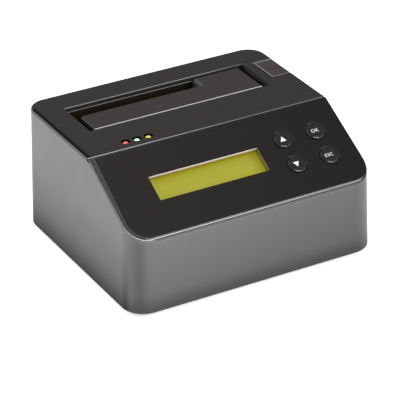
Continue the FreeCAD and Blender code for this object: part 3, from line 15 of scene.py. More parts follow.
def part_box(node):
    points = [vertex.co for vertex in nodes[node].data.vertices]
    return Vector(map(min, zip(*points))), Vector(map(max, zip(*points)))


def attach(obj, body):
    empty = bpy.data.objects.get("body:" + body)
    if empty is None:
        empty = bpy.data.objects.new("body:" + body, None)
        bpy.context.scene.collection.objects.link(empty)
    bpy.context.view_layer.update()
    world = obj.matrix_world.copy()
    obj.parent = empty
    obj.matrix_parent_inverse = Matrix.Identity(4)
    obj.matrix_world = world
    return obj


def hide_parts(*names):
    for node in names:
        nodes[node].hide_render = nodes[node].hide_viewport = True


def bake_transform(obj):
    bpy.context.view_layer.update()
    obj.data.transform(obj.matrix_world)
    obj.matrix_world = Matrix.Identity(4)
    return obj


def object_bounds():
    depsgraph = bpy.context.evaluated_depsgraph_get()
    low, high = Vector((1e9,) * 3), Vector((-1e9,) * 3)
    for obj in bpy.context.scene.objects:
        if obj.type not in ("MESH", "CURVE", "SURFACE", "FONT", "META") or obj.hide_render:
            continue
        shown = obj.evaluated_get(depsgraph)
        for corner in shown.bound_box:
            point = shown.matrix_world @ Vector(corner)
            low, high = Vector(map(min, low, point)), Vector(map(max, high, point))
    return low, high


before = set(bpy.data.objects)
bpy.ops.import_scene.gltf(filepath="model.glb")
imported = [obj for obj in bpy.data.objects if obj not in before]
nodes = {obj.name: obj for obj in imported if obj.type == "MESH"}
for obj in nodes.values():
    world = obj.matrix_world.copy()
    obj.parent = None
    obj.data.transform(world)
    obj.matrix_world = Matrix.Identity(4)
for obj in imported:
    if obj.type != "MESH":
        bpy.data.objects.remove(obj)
cad_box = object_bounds()
MM = 0.001
print("solid pieces:", len(nodes), "box", [round(v, 4) for v in cad_box[1]])

# %% [markdown]
# ## The places that many pieces share
# The control panel leans back, so its keys and marks are laid out in its own directions: across,
# up the slope and out of it. One small function turns those three numbers into a point. The edges
# on the deck follow from the boxes of the flap and the eject key. LEFT, RIGHT, FRONT and BACK lie
# just outside the walls, so a limit set to one of them leaves nothing out.

# %% Slope directions
DECK_Z = cad_box[1].z
FRONT_EDGE = Vector((0.0, -59.286 * MM, 42.7 * MM))
SLOPE_RUN = 45.46 * MM
SLOPE = math.atan2(DECK_Z - FRONT_EDGE.z, SLOPE_RUN)
UP_SLOPE = Vector((0.0, math.cos(SLOPE), math.sin(SLOPE)))
OUT_OF_SLOPE = Vector((0.0, -math.sin(SLOPE), math.cos(SLOPE)))


def on_slope(across, up, out):
    """A point given in millimetres across, up and out of the sloping panel."""
    side = Vector((across * MM, 0, 0))
    return FRONT_EDGE + side + UP_SLOPE * (up * MM) + OUT_OF_SLOPE * (out * MM)


print("deck height in mm:", round(DECK_Z / MM, 2))
print("slope in degrees:", round(math.degrees(SLOPE), 2))

# %% Edges on the deck, in millimetres
LEFT = -71.0
RIGHT = 71.0
FRONT = -62.0
BACK = 62.0
FLAP_DROP = 0.8
FLAP_DEPTH = 25.8
NOTCH_DEPTH = 9.1
NOTCH_WIDTH = 73.55
END_GAP = 3.5
REAR_GAP = 1.2
FRONT_GAP = 2.0
KEY_GAP = 0.5
DECK = DECK_Z / MM
flap_low, flap_high = (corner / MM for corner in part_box("drive_flap"))
key_low, key_high = (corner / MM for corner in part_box("eject_button"))
FLAP_TOP = DECK - FLAP_DROP
FLAP_LEFT = flap_low.x
FLAP_FRONT = flap_high.y - FLAP_DEPTH
NOTCH_FRONT = flap_high.y - NOTCH_DEPTH
OPENING_LEFT = flap_low.x - END_GAP
OPENING_RIGHT = flap_high.x + END_GAP
OPENING_REAR = flap_high.y + REAR_GAP
OPENING_FRONT = FLAP_FRONT - FRONT_GAP
NOTCH_RIGHT = OPENING_LEFT + NOTCH_WIDTH
print("drive opening across:", round(OPENING_RIGHT - OPENING_LEFT, 1))
print("drive opening deep:", round(OPENING_REAR - OPENING_FRONT, 1))

# %% Places on the slope, in millimetres
CREST_Y = -11.98
WINDOW_X = (-44.0, 17.5)
WINDOW_UP = (19.35, 33.65)
KEYS = {"up": (32.9, 34.2), "down": (32.9, 18.5), "ok": (51.8, 34.2), "esc": (51.8, 18.5)}
print("keys on the slope:", sorted(KEYS))

# %% [markdown]
# ## Building finishes from nodes
# Each finish is one Principled shader. Helpers make the material, read the piece's own place in
# space, and do the sums that the finishes need.

# %% Helpers for finishes


def new_finish(name, colour, roughness, **sockets):
    """A material with one Principled shader and its constant sockets set."""
    finish = bpy.data.materials.new(name)
    finish.use_nodes = True
    shader = finish.node_tree.nodes["Principled BSDF"]
    shader.inputs["Base Color"].default_value = (*colour, 1.0)
    shader.inputs["Roughness"].default_value = roughness
    for socket, amount in sockets.items():
        shader.inputs[socket.replace("_", " ")].default_value = amount
    return finish, shader


def set_input(finish, made, name, amount):
    socket = made.inputs[int(name)] if name.isdigit() else made.inputs[name]
    if isinstance(amount, bpy.types.NodeSocket):
        finish.node_tree.links.new(amount, socket)
    else:
        socket.default_value = amount


def node(finish, kind, **inputs):
    """A shader node whose named inputs are numbers or links."""
    made = finish.node_tree.nodes.new(kind)
    for name, amount in inputs.items():
        set_input(finish, made, name.replace("_", " "), amount)
    return made


def place_of(finish):
    """The point on the piece, in metres, as the Object coordinate gives it."""
    return node(finish, "ShaderNodeTexCoord").outputs["Object"]


def math_node(finish, operation, first, second=0.0):
    made = finish.node_tree.nodes.new("ShaderNodeMath")
    made.operation = operation
    set_input(finish, made, "0", first)
    set_input(finish, made, "1", second)
    return made.outputs[0]


def ramp(finish, amount, low, high, from_value, to_value, kind="LINEAR", clamp=True):
    """A number that goes from one value to another while an amount goes from low to high."""
    made = node(finish, "ShaderNodeMapRange", Value=amount)
    made.interpolation_type = kind
    made.clamp = clamp
    limits = {"From Min": low, "From Max": high, "To Min": from_value, "To Max": to_value}
    for socket, number in limits.items():
        made.inputs[socket].default_value = number
    return made.outputs[0]


print("finish helpers ready")

# %% [markdown]
# ## Grain, tint and painted zones
# Moulded plastic is never one flat colour: a fine grain breaks up the light and a slow drift changes
# the tint by a few percent. Where edges would catch the light, thin lines of painted highlight are laid
# on, and painted shade goes into gaps and on shaded sides. Each is painted as a zone, which is a box of
# limits in millimetres along named axes, some fading away along X.

# %% Grain and colour helpers
GRAIN_HEIGHT = 0.05 * MM
SLOW_SCALE = 60.0
ROUGH_SPREAD = 0.06


def grain(finish, shader, size_mm, depth, seed=0.0):
    """Fine mould grain as bump, with its roughness varied a little by a slower noise."""
    place = place_of(finish)
    fine = node(finish, "ShaderNodeTexNoise", Vector=place, Scale=1.0 / (size_mm * MM), Detail=3.0)
    bump = node(finish, "ShaderNodeBump", Strength=depth, Distance=GRAIN_HEIGHT, Height=fine.outputs[0])
    finish.node_tree.links.new(bump.outputs[0], shader.inputs["Normal"])
    slow = node(finish, "ShaderNodeTexNoise", Vector=place, Scale=SLOW_SCALE + seed, Detail=4.0)
    base = shader.inputs["Roughness"].default_value
    spread = ramp(finish, slow.outputs[0], 0.0, 1.0, base - ROUGH_SPREAD, base + ROUGH_SPREAD)
    finish.node_tree.links.new(spread, shader.inputs["Roughness"])
    return slow.outputs[0]


def mix_colour(finish, share, first, second):
    """A colour between two, by a share from 0 to 1."""
    made = finish.node_tree.nodes.new("ShaderNodeMix")
    made.data_type = "RGBA"
    for index, amount in ((0, share), (6, first), (7, second)):
        if isinstance(amount, bpy.types.NodeSocket):
            finish.node_tree.links.new(amount, made.inputs[index])
        elif index == 0:
            made.inputs[0].default_value = amount
        else:
            made.inputs[index].default_value = (*amount, 1.0)
    return made.outputs[2]


def dimmed(finish, colour, *factors):
    """A colour made darker or lighter by one number after another."""
    for factor in factors:
        made = finish.node_tree.nodes.new("ShaderNodeVectorMath")
        made.operation = "SCALE"
        finish.node_tree.links.new(colour, made.inputs[0])
        finish.node_tree.links.new(factor, made.inputs["Scale"])
        colour = made.outputs[0]
    return colour


def tone(level):
    """A slightly warm grey of a given level."""
    return (level, 0.985 * level, 0.96 * level)


print("grain helpers ready")

# %% Painted zones
MEASURES = {}


def measure(finish, axis):
    """A point's place along X, Y, Z, up the slope (U) or out of it (N), in millimetres."""
    if (finish.name, axis) not in MEASURES:
        ways = {"X": Vector((1, 0, 0)), "Y": Vector((0, 1, 0)), "Z": Vector((0, 0, 1)),
                "U": UP_SLOPE, "N": OUT_OF_SLOPE}
        start = FRONT_EDGE.dot(ways[axis]) if axis in "UN" else 0.0
        dot = node(finish, "ShaderNodeVectorMath", Vector=place_of(finish))
        dot.operation = "DOT_PRODUCT"
        dot.inputs[1].default_value = ways[axis]
        along = ramp(finish, dot.outputs["Value"], start, start + MM, 0, 1, clamp=False)
        MEASURES[finish.name, axis] = along
    return MEASURES[finish.name, axis]


def zone(finish, **limits):
    """1 inside a box of limits in millimetres along the named axes, else 0."""
    mask = 1.0
    for axis, (low, high) in limits.items():
        above = math_node(finish, "GREATER_THAN", measure(finish, axis), low)
        below = math_node(finish, "LESS_THAN", measure(finish, axis), high)
        mask = math_node(finish, "MULTIPLY", math_node(finish, "MULTIPLY", above, below), mask)
    return mask


def paint(finish, colour, rows):
    """Lays tones over a colour, each in its own zone, some fading along X to a last share."""
    for tint, limits, *fades in rows:
        share = zone(finish, **limits)
        for start, end, last in fades:
            slide = ramp(finish, measure(finish, "X"), start, end, 1.0, last)
            share = math_node(finish, "MULTIPLY", share, slide)
        colour = mix_colour(finish, share, colour, tint)
    return colour


def near(spot, before, after):
    """Limits from a little before a place to a little after it."""
    return (spot - before, spot + after)


print("paint helpers ready")

# %% [markdown]
# ## Grey housing
# The lower housing is a satin grey moulding. Its colour is painted darker towards the foot and slowly
# towards the right, as painted shade where the soft light falls off, and a painted highlight line runs
# along its top edge. The left wall has painted shade at its foot and is dull there, and a soft band of
# painted shade stands on the front left corner. The walls lean in, so both are measured from a left
# wall set upright.

# %% Grey housing finish
GREY = (0.142, 0.1355, 0.138)
GREY_DRIFT = (0.133, 0.127, 0.129)
HOUSING_SHINE = 0.35
grey_housing, shader = new_finish("grey_housing", GREY, 0.42, Specular_IOR_Level=HOUSING_SHINE)
drift = grain(grey_housing, shader, 0.35, 0.2)
height = measure(grey_housing, "Z")
x_place = measure(grey_housing, "X")
# Painted shade: the grey is darkened towards the foot, lower on the wall and towards the right.
foot = ramp(grey_housing, height, 1.5, 14, 0.45, 1.0, "SMOOTHSTEP")
rise = ramp(grey_housing, height, 2, 46, 0.62, 1.0)
across = ramp(grey_housing, x_place, -50, 70, 1.0, 0.72)
shade = dimmed(grey_housing, mix_colour(grey_housing, drift, GREY, GREY_DRIFT), foot, rise, across)
print("finish:", grey_housing.name)

# %% Painted shade on the left wall and front left corner of the housing
WALL_LEAN = 0.0214
WALL_END = (-69.8, -68.3)
BAND_X = (-68.4, -65.2, -61.0)
BAND_SHARE = 0.28
SHADE_TONE = tone(0.02)
# Painted shade: the left wall darkens towards its foot.
lean = math_node(grey_housing, "MULTIPLY", height, WALL_LEAN)
upright_x = math_node(grey_housing, "SUBTRACT", x_place, lean)
left_wall = ramp(grey_housing, upright_x, *WALL_END, 1.0, 0.0, "SMOOTHSTEP")
low_share = ramp(grey_housing, height, 2, 38, 0.84, 0.06)
left_foot_shade = math_node(grey_housing, "MULTIPLY", left_wall, low_share)
shade = mix_colour(grey_housing, left_foot_shade, shade, SHADE_TONE)
# Painted shade: a soft dark band on the front left corner.
into_band = ramp(grey_housing, upright_x, BAND_X[0], BAND_X[1], 0.0, BAND_SHARE, "SMOOTHSTEP")
past_band = ramp(grey_housing, upright_x, BAND_X[1], BAND_X[2], 1.0, 0.0, "SMOOTHSTEP")
band = math_node(grey_housing, "MULTIPLY", into_band, past_band)
corner_shade = math_node(grey_housing, "MULTIPLY", band, zone(grey_housing, Y=(FRONT, -40)))
shade = mix_colour(grey_housing, corner_shade, shade, SHADE_TONE)
dull_share = ramp(grey_housing, height, 2, 20, 0.33, 0.0)
dull_foot = math_node(grey_housing, "MULTIPLY", left_wall, dull_share)
shine = math_node(grey_housing, "SUBTRACT", HOUSING_SHINE, dull_foot)
grey_housing.node_tree.links.new(shine, shader.inputs["Specular IOR Level"])
print("left wall shaded")

# %% Painted highlight on the top edges of the housing
SEAM_DEPTH = 1.8
EDGE_LINE = 0.5
EDGE_HIGHLIGHT = tone(0.165)
edge_depth = SEAM_DEPTH + EDGE_LINE
# Painted highlight: light lines along the housing's top edges, the ones on the slope fading towards the
# right.
shade = paint(grey_housing, shade, [
    (EDGE_HIGHLIGHT, {"N": (-edge_depth, 0), "Z": (0, DECK - 4)}, (-40, 70, 0.4)),
    (EDGE_HIGHLIGHT, {"Z": (DECK - edge_depth, DECK)}),
])
grey_housing.node_tree.links.new(shade, shader.inputs["Base Color"])
print("housing edges lit")

# %% [markdown]
# ## Black deck, flap, eject key and drive guide
# These four are black mouldings with one grain. Thin lines of painted highlight stand on their rounded
# edges where light would catch them, and only some edges face it, so each piece lists the zones where a
# painted highlight line or a darker band of painted shade lies. Along the deck's left and right rims
# the rounding looks into the dark, so there it does not shine. The lower skirt of the rim is painted in
# the housing's grey, with the housing's painted light and shade and a painted highlight on its left top
# edge.

# %% Black moulding finish
BLACK = (0.0200, 0.0175, 0.0164)
BLACK_DRIFT = (0.0240, 0.0212, 0.0200)
SHADED_BLACK = (0.0125, 0.0095, 0.0045)
SHADED_DRIFT = (0.0155, 0.0120, 0.0060)
SHINE = 0.15


def black_moulding(name, rows=(), level=1.0, colours=(BLACK, BLACK_DRIFT), dull=()):
    """Black grained plastic with zones of another tone, mostly painted highlight and shade, and some
    zones that do not shine.
    """
    finish, shader = new_finish(name, BLACK, 0.62, Specular_IOR_Level=SHINE)
    drift = grain(finish, shader, 0.3, 0.3)
    tints = (tuple(level * channel for channel in colour) for colour in colours)
    base = mix_colour(finish, drift, *tints)
    finish.node_tree.links.new(paint(finish, base, rows), shader.inputs["Base Color"])
    shine = SHINE
    for limits in dull:
        lit = math_node(finish, "SUBTRACT", 1.0, zone(finish, **limits))
        shine = math_node(finish, "MULTIPLY", lit, shine)
    if dull:
        finish.node_tree.links.new(shine, shader.inputs["Specular IOR Level"])
    return finish


print("black moulding finish ready")

# %% Painted shade on the rims and gaps of the deck
RIM_X = 65.9
RIM_Y = (-16, 50)
RIM_DEPTH = 1.7
GAP_SHADE = tone(0.004)
key_left = key_low.x - KEY_GAP
key_front = key_low.y - KEY_GAP
key_rear = key_high.y + KEY_GAP
surface = near(DECK, 0.1, 0.1)
left_shade = {"X": (LEFT, -RIM_X), "Y": RIM_Y, "Z": near(DECK, RIM_DEPTH, 1)}
left_rim = {"X": (LEFT, -RIM_X - 1.2), "Y": RIM_Y, "Z": near(DECK, RIM_DEPTH, 1)}
right_rim = {"X": (RIM_X + 0.4, RIGHT), "Y": RIM_Y, "Z": near(DECK, RIM_DEPTH, -0.03)}
key_front_gap = {"X": (key_left, RIGHT), "Y": near(key_front, 0.7, 0.1), "Z": surface}
key_side_gap = {"X": near(key_left, 0.7, 0.1), "Y": (key_front, key_rear), "Z": surface}
lamp_wells = {"X": (-47, -28), "Y": (-9, -3), "Z": near(DECK, 2.6, -0.05)}
groove = {"X": (LEFT, RIGHT), "Y": near(CREST_Y, 2.6, -0.5), "Z": near(DECK, RIM_DEPTH, -0.3)}
# Painted shade: the deck's rims, the gaps round the eject key, the lamp wells and the crest groove are
# darkened.
rim_shade_rows = [(tone(0.014), left_shade), (tone(0.011), left_rim), (tone(0.008), right_rim)]
gap_shade_rows = [(GAP_SHADE, key_front_gap), (GAP_SHADE, key_side_gap), (GAP_SHADE, lamp_wells),
            (tone(0.008), groove)]
print("dark zones of the deck:", len(rim_shade_rows) + len(gap_shade_rows))

# %% Grey skirt of the deck's rim, with painted light and shade
GREY_LEFT_LIT = tone(0.138)
GREY_RIGHT_SHADED = tone(0.105)
GREY_BACK_SHADED = tone(0.120)
SKIRT_X = 66
SLOPE_SKIRT_X = 56
SKIRT_TOP = -0.92
skirt = near(DECK, RIM_DEPTH, -0.4)
slope_skirt = (-RIM_DEPTH, SKIRT_TOP)
below_deck = (0, DECK - RIM_DEPTH)
across_front = (-SLOPE_SKIRT_X, SLOPE_SKIRT_X)
# The housing's grey painted on the rim's lower skirt, lighter on the left and darker on the right and
# back as painted light and shade, with a painted highlight line on its left top edge.
skirt_rows = [
    (GREY_LEFT_LIT, {"X": (LEFT, -SKIRT_X), "Y": (CREST_Y, BACK), "Z": skirt}),
    (GREY_RIGHT_SHADED, {"X": (SKIRT_X, RIGHT), "Y": (CREST_Y, BACK), "Z": skirt}),
    (GREY_BACK_SHADED, {"X": (-SKIRT_X, SKIRT_X), "Y": (50, BACK), "Z": skirt}),
    (GREY_LEFT_LIT, {"X": (LEFT, -SLOPE_SKIRT_X), "N": slope_skirt, "Z": below_deck}),
    (tone(0.30), {"X": (LEFT, -SLOPE_SKIRT_X), "N": (-1.25, SKIRT_TOP), "Z": below_deck}),
    (GREY_RIGHT_SHADED, {"X": (SLOPE_SKIRT_X, RIGHT), "N": slope_skirt, "Z": below_deck}),
    (GREY_LEFT_LIT, {"X": across_front, "Y": (FRONT, -57), "N": slope_skirt}, (-50, 70, 0.7)),
]
print("skirt zones of the deck:", len(skirt_rows))

# %% Painted light on the opening walls, and painted highlight lines of the deck
across_opening = (OPENING_LEFT - 0.2, OPENING_RIGHT + 0.6)
wall_z = near(DECK, 2.5, -0.5)
# Painted light on the opening's rear and right inner walls, then painted highlight lines on the
# opening's rear and front edges, behind the eject key and along the crest.
painted_light_rows = [
    (tone(0.024), {"Y": near(OPENING_REAR, 0.2, 0.1), "Z": wall_z}),
    (tone(0.035), {"X": near(OPENING_RIGHT, 0.1, 0.1), "Z": wall_z}),
    (tone(0.24), {"X": across_opening, "Y": near(OPENING_REAR, 0.1, 0.6), "Z": near(DECK, 0.36, -0.02)},
     (25, OPENING_RIGHT, 0.4)),
    (tone(0.30), {"X": across_opening, "Y": near(OPENING_FRONT, 0.6, 0.1), "Z": near(DECK, 0.5, -0.02)},
     (FLAP_LEFT, 40, 0.25)),
    (tone(0.30), {"X": (55, RIGHT), "Y": near(key_rear, 0.1, 0.1), "Z": near(DECK, 0.9, 0.01)}),
    (tone(0.42), {"X": (-68, 68), "Y": near(CREST_Y, 0.7, 0.1), "Z": near(DECK, 0.45, -0.17)},
     (-50, 20, 0.4)),
]
print("walls and lines of the deck:", len(painted_light_rows))

# %% Painted reflection on the window walls, and finish of the deck
WALL_REFLECTION = (0.38, 0.25, 0.03)
WALL_SHADE = (0.24, 0.22, 0.06)
WALL_BACK = -3.5
LEDGE = -1.6
SHEET_SEAT = -0.85
window_top = near(WINDOW_UP[1], 0.2, 0.2)
window_right = near(WINDOW_X[1], 0.2, 0.2)
# Painted reflection of the screen's amber light on the window's top wall under a pale painted highlight
# line, and painted shade in the screen's tint on its right wall.
window_reflection_rows = [
    (WALL_REFLECTION, {"X": WINDOW_X, "U": window_top, "N": (WALL_BACK, LEDGE)}),
    (tone(0.55), {"X": WINDOW_X, "U": window_top, "N": (LEDGE, SHEET_SEAT)}),
    (WALL_SHADE, {"X": window_right, "U": WINDOW_UP, "N": (WALL_BACK, SHEET_SEAT)}),
]
deck_rows = rim_shade_rows + skirt_rows + gap_shade_rows + painted_light_rows + window_reflection_rows
dull_zones = (left_shade, right_rim, key_front_gap, key_side_gap, lamp_wells)
black_deck = black_moulding("black_deck", deck_rows, level=1.08, dull=dull_zones)
print("finish:", black_deck.name)

# %% Flap, eject key and drive guide
flap_edge = near(FLAP_TOP, 0.32, -0.03)
key_edge = near(key_high.z, 0.4, -0.03)
beside_notch = (FLAP_FRONT + 0.6, NOTCH_FRONT)
notch_y = (NOTCH_FRONT, OPENING_REAR)
# Flap: painted shade on its front face in the gap and on its left end, painted highlight lines on its
# front and left top edges, painted light on the notch's end wall and a painted highlight on that wall's
# top edge.
black_flap = black_moulding("black_flap", [
    (tone(0.005), {"Y": near(FLAP_FRONT, 0.1, 0.3), "Z": near(FLAP_TOP, 3, -0.32)}),
    (tone(0.60), {"Y": near(FLAP_FRONT, 0.1, 0.6), "Z": flap_edge}),
    (tone(0.020), {"X": near(FLAP_LEFT, 0.1, 0.2), "Z": near(FLAP_TOP, 3, -0.5)}),
    (tone(0.075), {"X": near(FLAP_LEFT, 0.1, 0.6), "Y": beside_notch, "Z": flap_edge}),
    (tone(0.050), {"X": near(NOTCH_RIGHT, 0.1, 1.5), "Y": notch_y, "Z": near(FLAP_TOP, 7, -0.04)}),
    (tone(0.120), {"X": near(NOTCH_RIGHT, -1.0, 1.5), "Y": notch_y, "Z": near(FLAP_TOP, 0.45, -0.02)}),
], level=1.45)
# Eject key: painted highlight lines on its left and front top edges.
black_key = black_moulding("black_eject_key", [
    (tone(0.30), {"X": near(key_low.x, 0.1, 0.6), "Z": key_edge}),
    (tone(0.30), {"Y": near(key_low.y, 0.1, 0.6), "Z": key_edge}),
], level=0.8)
# Drive guide: a painted highlight line on the ledge at the back of the opening, on a black painted
# darker as shade for the deep slot.
guide_line = {"X": (OPENING_LEFT, NOTCH_RIGHT), "Y": near(OPENING_REAR, 0.7, 0.1),
              "Z": near(DECK, 2.45, -2.35)}
black_guide = black_moulding("black_guide", [(tone(0.35), guide_line)],
                             colours=(SHADED_BLACK, SHADED_DRIFT))
# Grip dots: the black is painted six times lighter, as a painted highlight on the dots.
dot_highlights = black_moulding("dot_highlights", level=6.0)
black_plain = black_moulding("black_plain")
print("black finishes made")

# %% [markdown]
# ## Glossy panel sheet and keys
# A thin polished sheet covers the slope, painted darker towards the right as shade. Along its left side
# a band of painted shading stands in for a soft shoulder running down to the housing. Two faint painted
# highlight lines part it from the flat sheet and turn round the front corner. They are drawn by the
# distance to one outline: a straight left side, a straight front and a round corner.

# %% Panel sheet finish
GLOSS_LIT_LEFT = (0.0138, 0.0115, 0.0096)
GLOSS_SHADED_RIGHT = (0.0046, 0.0033, 0.0026)
SHOULDER_X = -67.3
SIDE_LEAN = 0.036
CORNER = 10.5
CORNER_UP = 12.0
FRONT_UP = 0.6
gloss_sheet, shader = new_finish("gloss_sheet", GLOSS_LIT_LEFT, 0.16, Specular_IOR_Level=0.35)
grain(gloss_sheet, shader, 6.0, 0.02, 20.0)
x_place = measure(gloss_sheet, "X")
up_place = measure(gloss_sheet, "U")
# Painted shade: the sheet darkens towards the right.
darker = ramp(gloss_sheet, x_place, -60, 65, 0.0, 1.0)
colour = mix_colour(gloss_sheet, darker, GLOSS_LIT_LEFT, GLOSS_SHADED_RIGHT)
lean = math_node(gloss_sheet, "MULTIPLY", up_place, SIDE_LEAN)
corner_x = math_node(gloss_sheet, "ADD", lean, SHOULDER_X + CORNER)
side_reach = math_node(gloss_sheet, "SUBTRACT", corner_x, x_place)
front_reach = ramp(gloss_sheet, up_place, FRONT_UP, FRONT_UP + CORNER_UP, CORNER, 0.0, clamp=False)
squares = [math_node(gloss_sheet, "POWER", math_node(gloss_sheet, "MAXIMUM", reach, 0.0), 2.0)
           for reach in (side_reach, front_reach)]
from_corner = math_node(gloss_sheet, "SQRT", math_node(gloss_sheet, "ADD", *squares))
from_line = math_node(gloss_sheet, "SUBTRACT", from_corner, CORNER)
print("panel outline worked out")

# %% Painted shoulder shading and highlight lines of the panel sheet
LINE_SPOTS = (0.0, 1.15)
LINE_HALF = 0.38
SHOULDER_SHADING = tone(0.021)
LINE_HIGHLIGHT = tone(0.11)
# Painted shading stands in for a rounded shoulder outside the outline, with two painted highlight lines
# along it.
outside = math_node(gloss_sheet, "GREATER_THAN", from_line, 0.0)
near_left = ramp(gloss_sheet, x_place, -62, -50, 1.0, 0.0)
shoulder = math_node(gloss_sheet, "MULTIPLY", outside, near_left)
colour = mix_colour(gloss_sheet, shoulder, colour, SHOULDER_SHADING)
fading = ramp(gloss_sheet, x_place, -60, -44, 1.0, 0.0)
for spot in LINE_SPOTS:
    distance = math_node(gloss_sheet, "ABSOLUTE", math_node(gloss_sheet, "SUBTRACT", from_line, spot))
    strength = ramp(gloss_sheet, distance, 0.0, LINE_HALF, 1.0, 0.0)
    line = math_node(gloss_sheet, "MULTIPLY", strength, fading)
    colour = mix_colour(gloss_sheet, line, colour, LINE_HIGHLIGHT)
print("shoulder lines:", len(LINE_SPOTS))

# %% Painted highlights on the edges, window walls and key holes of the panel sheet
SHEET_FOOT = -0.95
HOLE_REACH = 5.6
sheet_wall = (SHEET_FOOT, -0.03)
over_window = (WINDOW_X[0] - 1, WINDOW_X[1] + 0.8)
# Painted light on the walls of the key holes, lifting their shade.
hole_light_rows = [(tone(0.034), {"X": near(x, HOLE_REACH, HOLE_REACH),
                            "U": near(up, HOLE_REACH, HOLE_REACH),
                            "N": (SHEET_FOOT, -0.02)}) for x, up in KEYS.values()]
# Painted highlight lines on the window's top wall and the sheet's front and left edges, and painted
# shade on the window's right wall.
colour = paint(gloss_sheet, colour, [
    (tone(0.85), {"X": over_window, "U": near(WINDOW_UP[1], 0.2, 0.25), "N": sheet_wall}),
    (WALL_SHADE, {"X": window_right, "U": WINDOW_UP, "N": sheet_wall}),
    (tone(0.13), {"X": (-61, 61), "Y": (FRONT, -57), "N": (-0.32, -0.02)}, (-50, 60, 0.4)),
    (tone(0.50), {"X": (LEFT, -57), "N": (SHEET_FOOT, -0.42)}),
    (tone(0.55), {"X": (-68, 61), "Y": (FRONT, -46), "N": (-0.8, -0.36)},
     (-50, 60, 0.4), (-56, -67, 0.1)),
    *hole_light_rows,
])
gloss_sheet.node_tree.links.new(colour, shader.inputs["Base Color"])
print("finish:", gloss_sheet.name)

# %% Key finish
KEY_EDGE = 0.45
KEY_BLACK = (0.0125, 0.0110, 0.0094)
KEY_DRIFT = (0.0104, 0.0092, 0.0080)
key_gloss, shader = new_finish("key_gloss", KEY_BLACK, 0.3, Specular_IOR_Level=0.35)
drift = grain(key_gloss, shader, 0.4, 0.05, 7.0)
colour = mix_colour(key_gloss, drift, KEY_BLACK, KEY_DRIFT)
# Painted light on the keys' sides lifts the shade in the gap round each key, and the glints are painted
# highlight crescents at the foot of each key.
ring = (tone(0.020), {"N": (-1.2, KEY_EDGE)})
glints = [(tone(0.30), {"X": near(x, 3.9, -0.3), "U": near(up, 5.2, -3.2), "N": (0.17, KEY_EDGE)})
          for x, up in KEYS.values()]
colour = paint(key_gloss, colour, [ring, *glints])
key_gloss.node_tree.links.new(colour, shader.inputs["Base Color"])
rocker_gloss = black_moulding("rocker_gloss", level=0.8)
print("finish:", key_gloss.name)

# %% [markdown]
# ## Screen, lamps and the pieces inside
# The screen is a yellow-green liquid crystal under glass, on which the unlit character cells show
# faintly in two rows of sixteen. The lamps are tinted resin and are not lit, and they and the screen
# carry a painted glow that stands in for light caught in them. Boards, sockets, contacts and springs
# keep simple finishes with their own grain.

# %% Lamp finishes
CLOUD_SCALE = 45.0
CLOUD_SHARE = 0.86


def tinted(name, colour, roughness, glow, **sockets):
    """Coloured resin or glass with a slow cloud in its tint and a little glow that stands in for light
    caught in it.
    """
    finish, shader = new_finish(name, colour, roughness, **sockets)
    cloud = node(finish, "ShaderNodeTexNoise", Vector=place_of(finish), Scale=CLOUD_SCALE, Detail=2.0)
    deep = tuple(CLOUD_SHARE * channel for channel in colour)
    tint = mix_colour(finish, cloud.outputs[0], colour, deep)
    finish.node_tree.links.new(tint, shader.inputs["Base Color"])
    shader.inputs["Emission Color"].default_value = (*colour, 1.0)
    shader.inputs["Emission Strength"].default_value = glow
    return finish, shader, tint


# The lamps' glow is painted light; they are not lit.
red_resin = tinted("red_resin", (0.62, 0.08, 0.09), 0.18, 0.52, Coat_Weight=0.5)[0]
green_resin = tinted("green_resin", (0.42, 0.74, 0.47), 0.18, 0.95, Coat_Weight=0.5)[0]
yellow_resin = tinted("yellow_resin", (0.72, 0.62, 0.05), 0.18, 0.3, Coat_Weight=0.5)[0]
print("lamp finishes made")

# %% Screen finish
CELL_PITCH = 3.65
ROW_PITCH = 6.2
CELL_SHARES = (0.82, 0.88)
CELL_TONE = (0.16, 0.15, 0.02)
CELL_STRENGTH = 0.06
HALF_COLUMNS = 8
CELLS_BEFORE = 20
# The screen's glow is painted light that evens out the shadow of the window's walls on the glass.
screen_glass, shader, tint = tinted("screen_glass", (0.20, 0.19, 0.008), 0.35, 1.0, Coat_Weight=0.3)
screen_middle = sum(WINDOW_X) / 2
rows_middle = sum(WINDOW_UP) / 2
cells = []
for axis, middle, pitch, filled in (("X", screen_middle, CELL_PITCH, CELL_SHARES[0]),
                                    ("U", rows_middle, ROW_PITCH, CELL_SHARES[1])):
    start = middle - CELLS_BEFORE * pitch
    shifted = math_node(screen_glass, "SUBTRACT", measure(screen_glass, axis), start)
    part = math_node(screen_glass, "FRACT", math_node(screen_glass, "DIVIDE", shifted, pitch))
    cells.append(math_node(screen_glass, "LESS_THAN", part, filled))
half_row = HALF_COLUMNS * CELL_PITCH
block = zone(screen_glass, X=near(screen_middle, half_row, half_row),
             U=near(rows_middle, ROW_PITCH, ROW_PITCH))
shown = math_node(screen_glass, "MULTIPLY", math_node(screen_glass, "MULTIPLY", *cells), block)
faint = math_node(screen_glass, "MULTIPLY", shown, CELL_STRENGTH)
colour = mix_colour(screen_glass, faint, tint, CELL_TONE)
screen_glass.node_tree.links.new(colour, shader.inputs["Base Color"])
print("finish:", screen_glass.name)

# %% Finishes of the inner pieces
DEEP_SHARE = 0.8


def grained(name, colour, roughness, size_mm, depth, **sockets):
    finish, shader = new_finish(name, colour, roughness, **sockets)
    drift = grain(finish, shader, size_mm, depth)
    deep = tuple(DEEP_SHARE * channel for channel in colour)
    finish.node_tree.links.new(mix_colour(finish, drift, colour, deep), shader.inputs["Base Color"])
    return finish


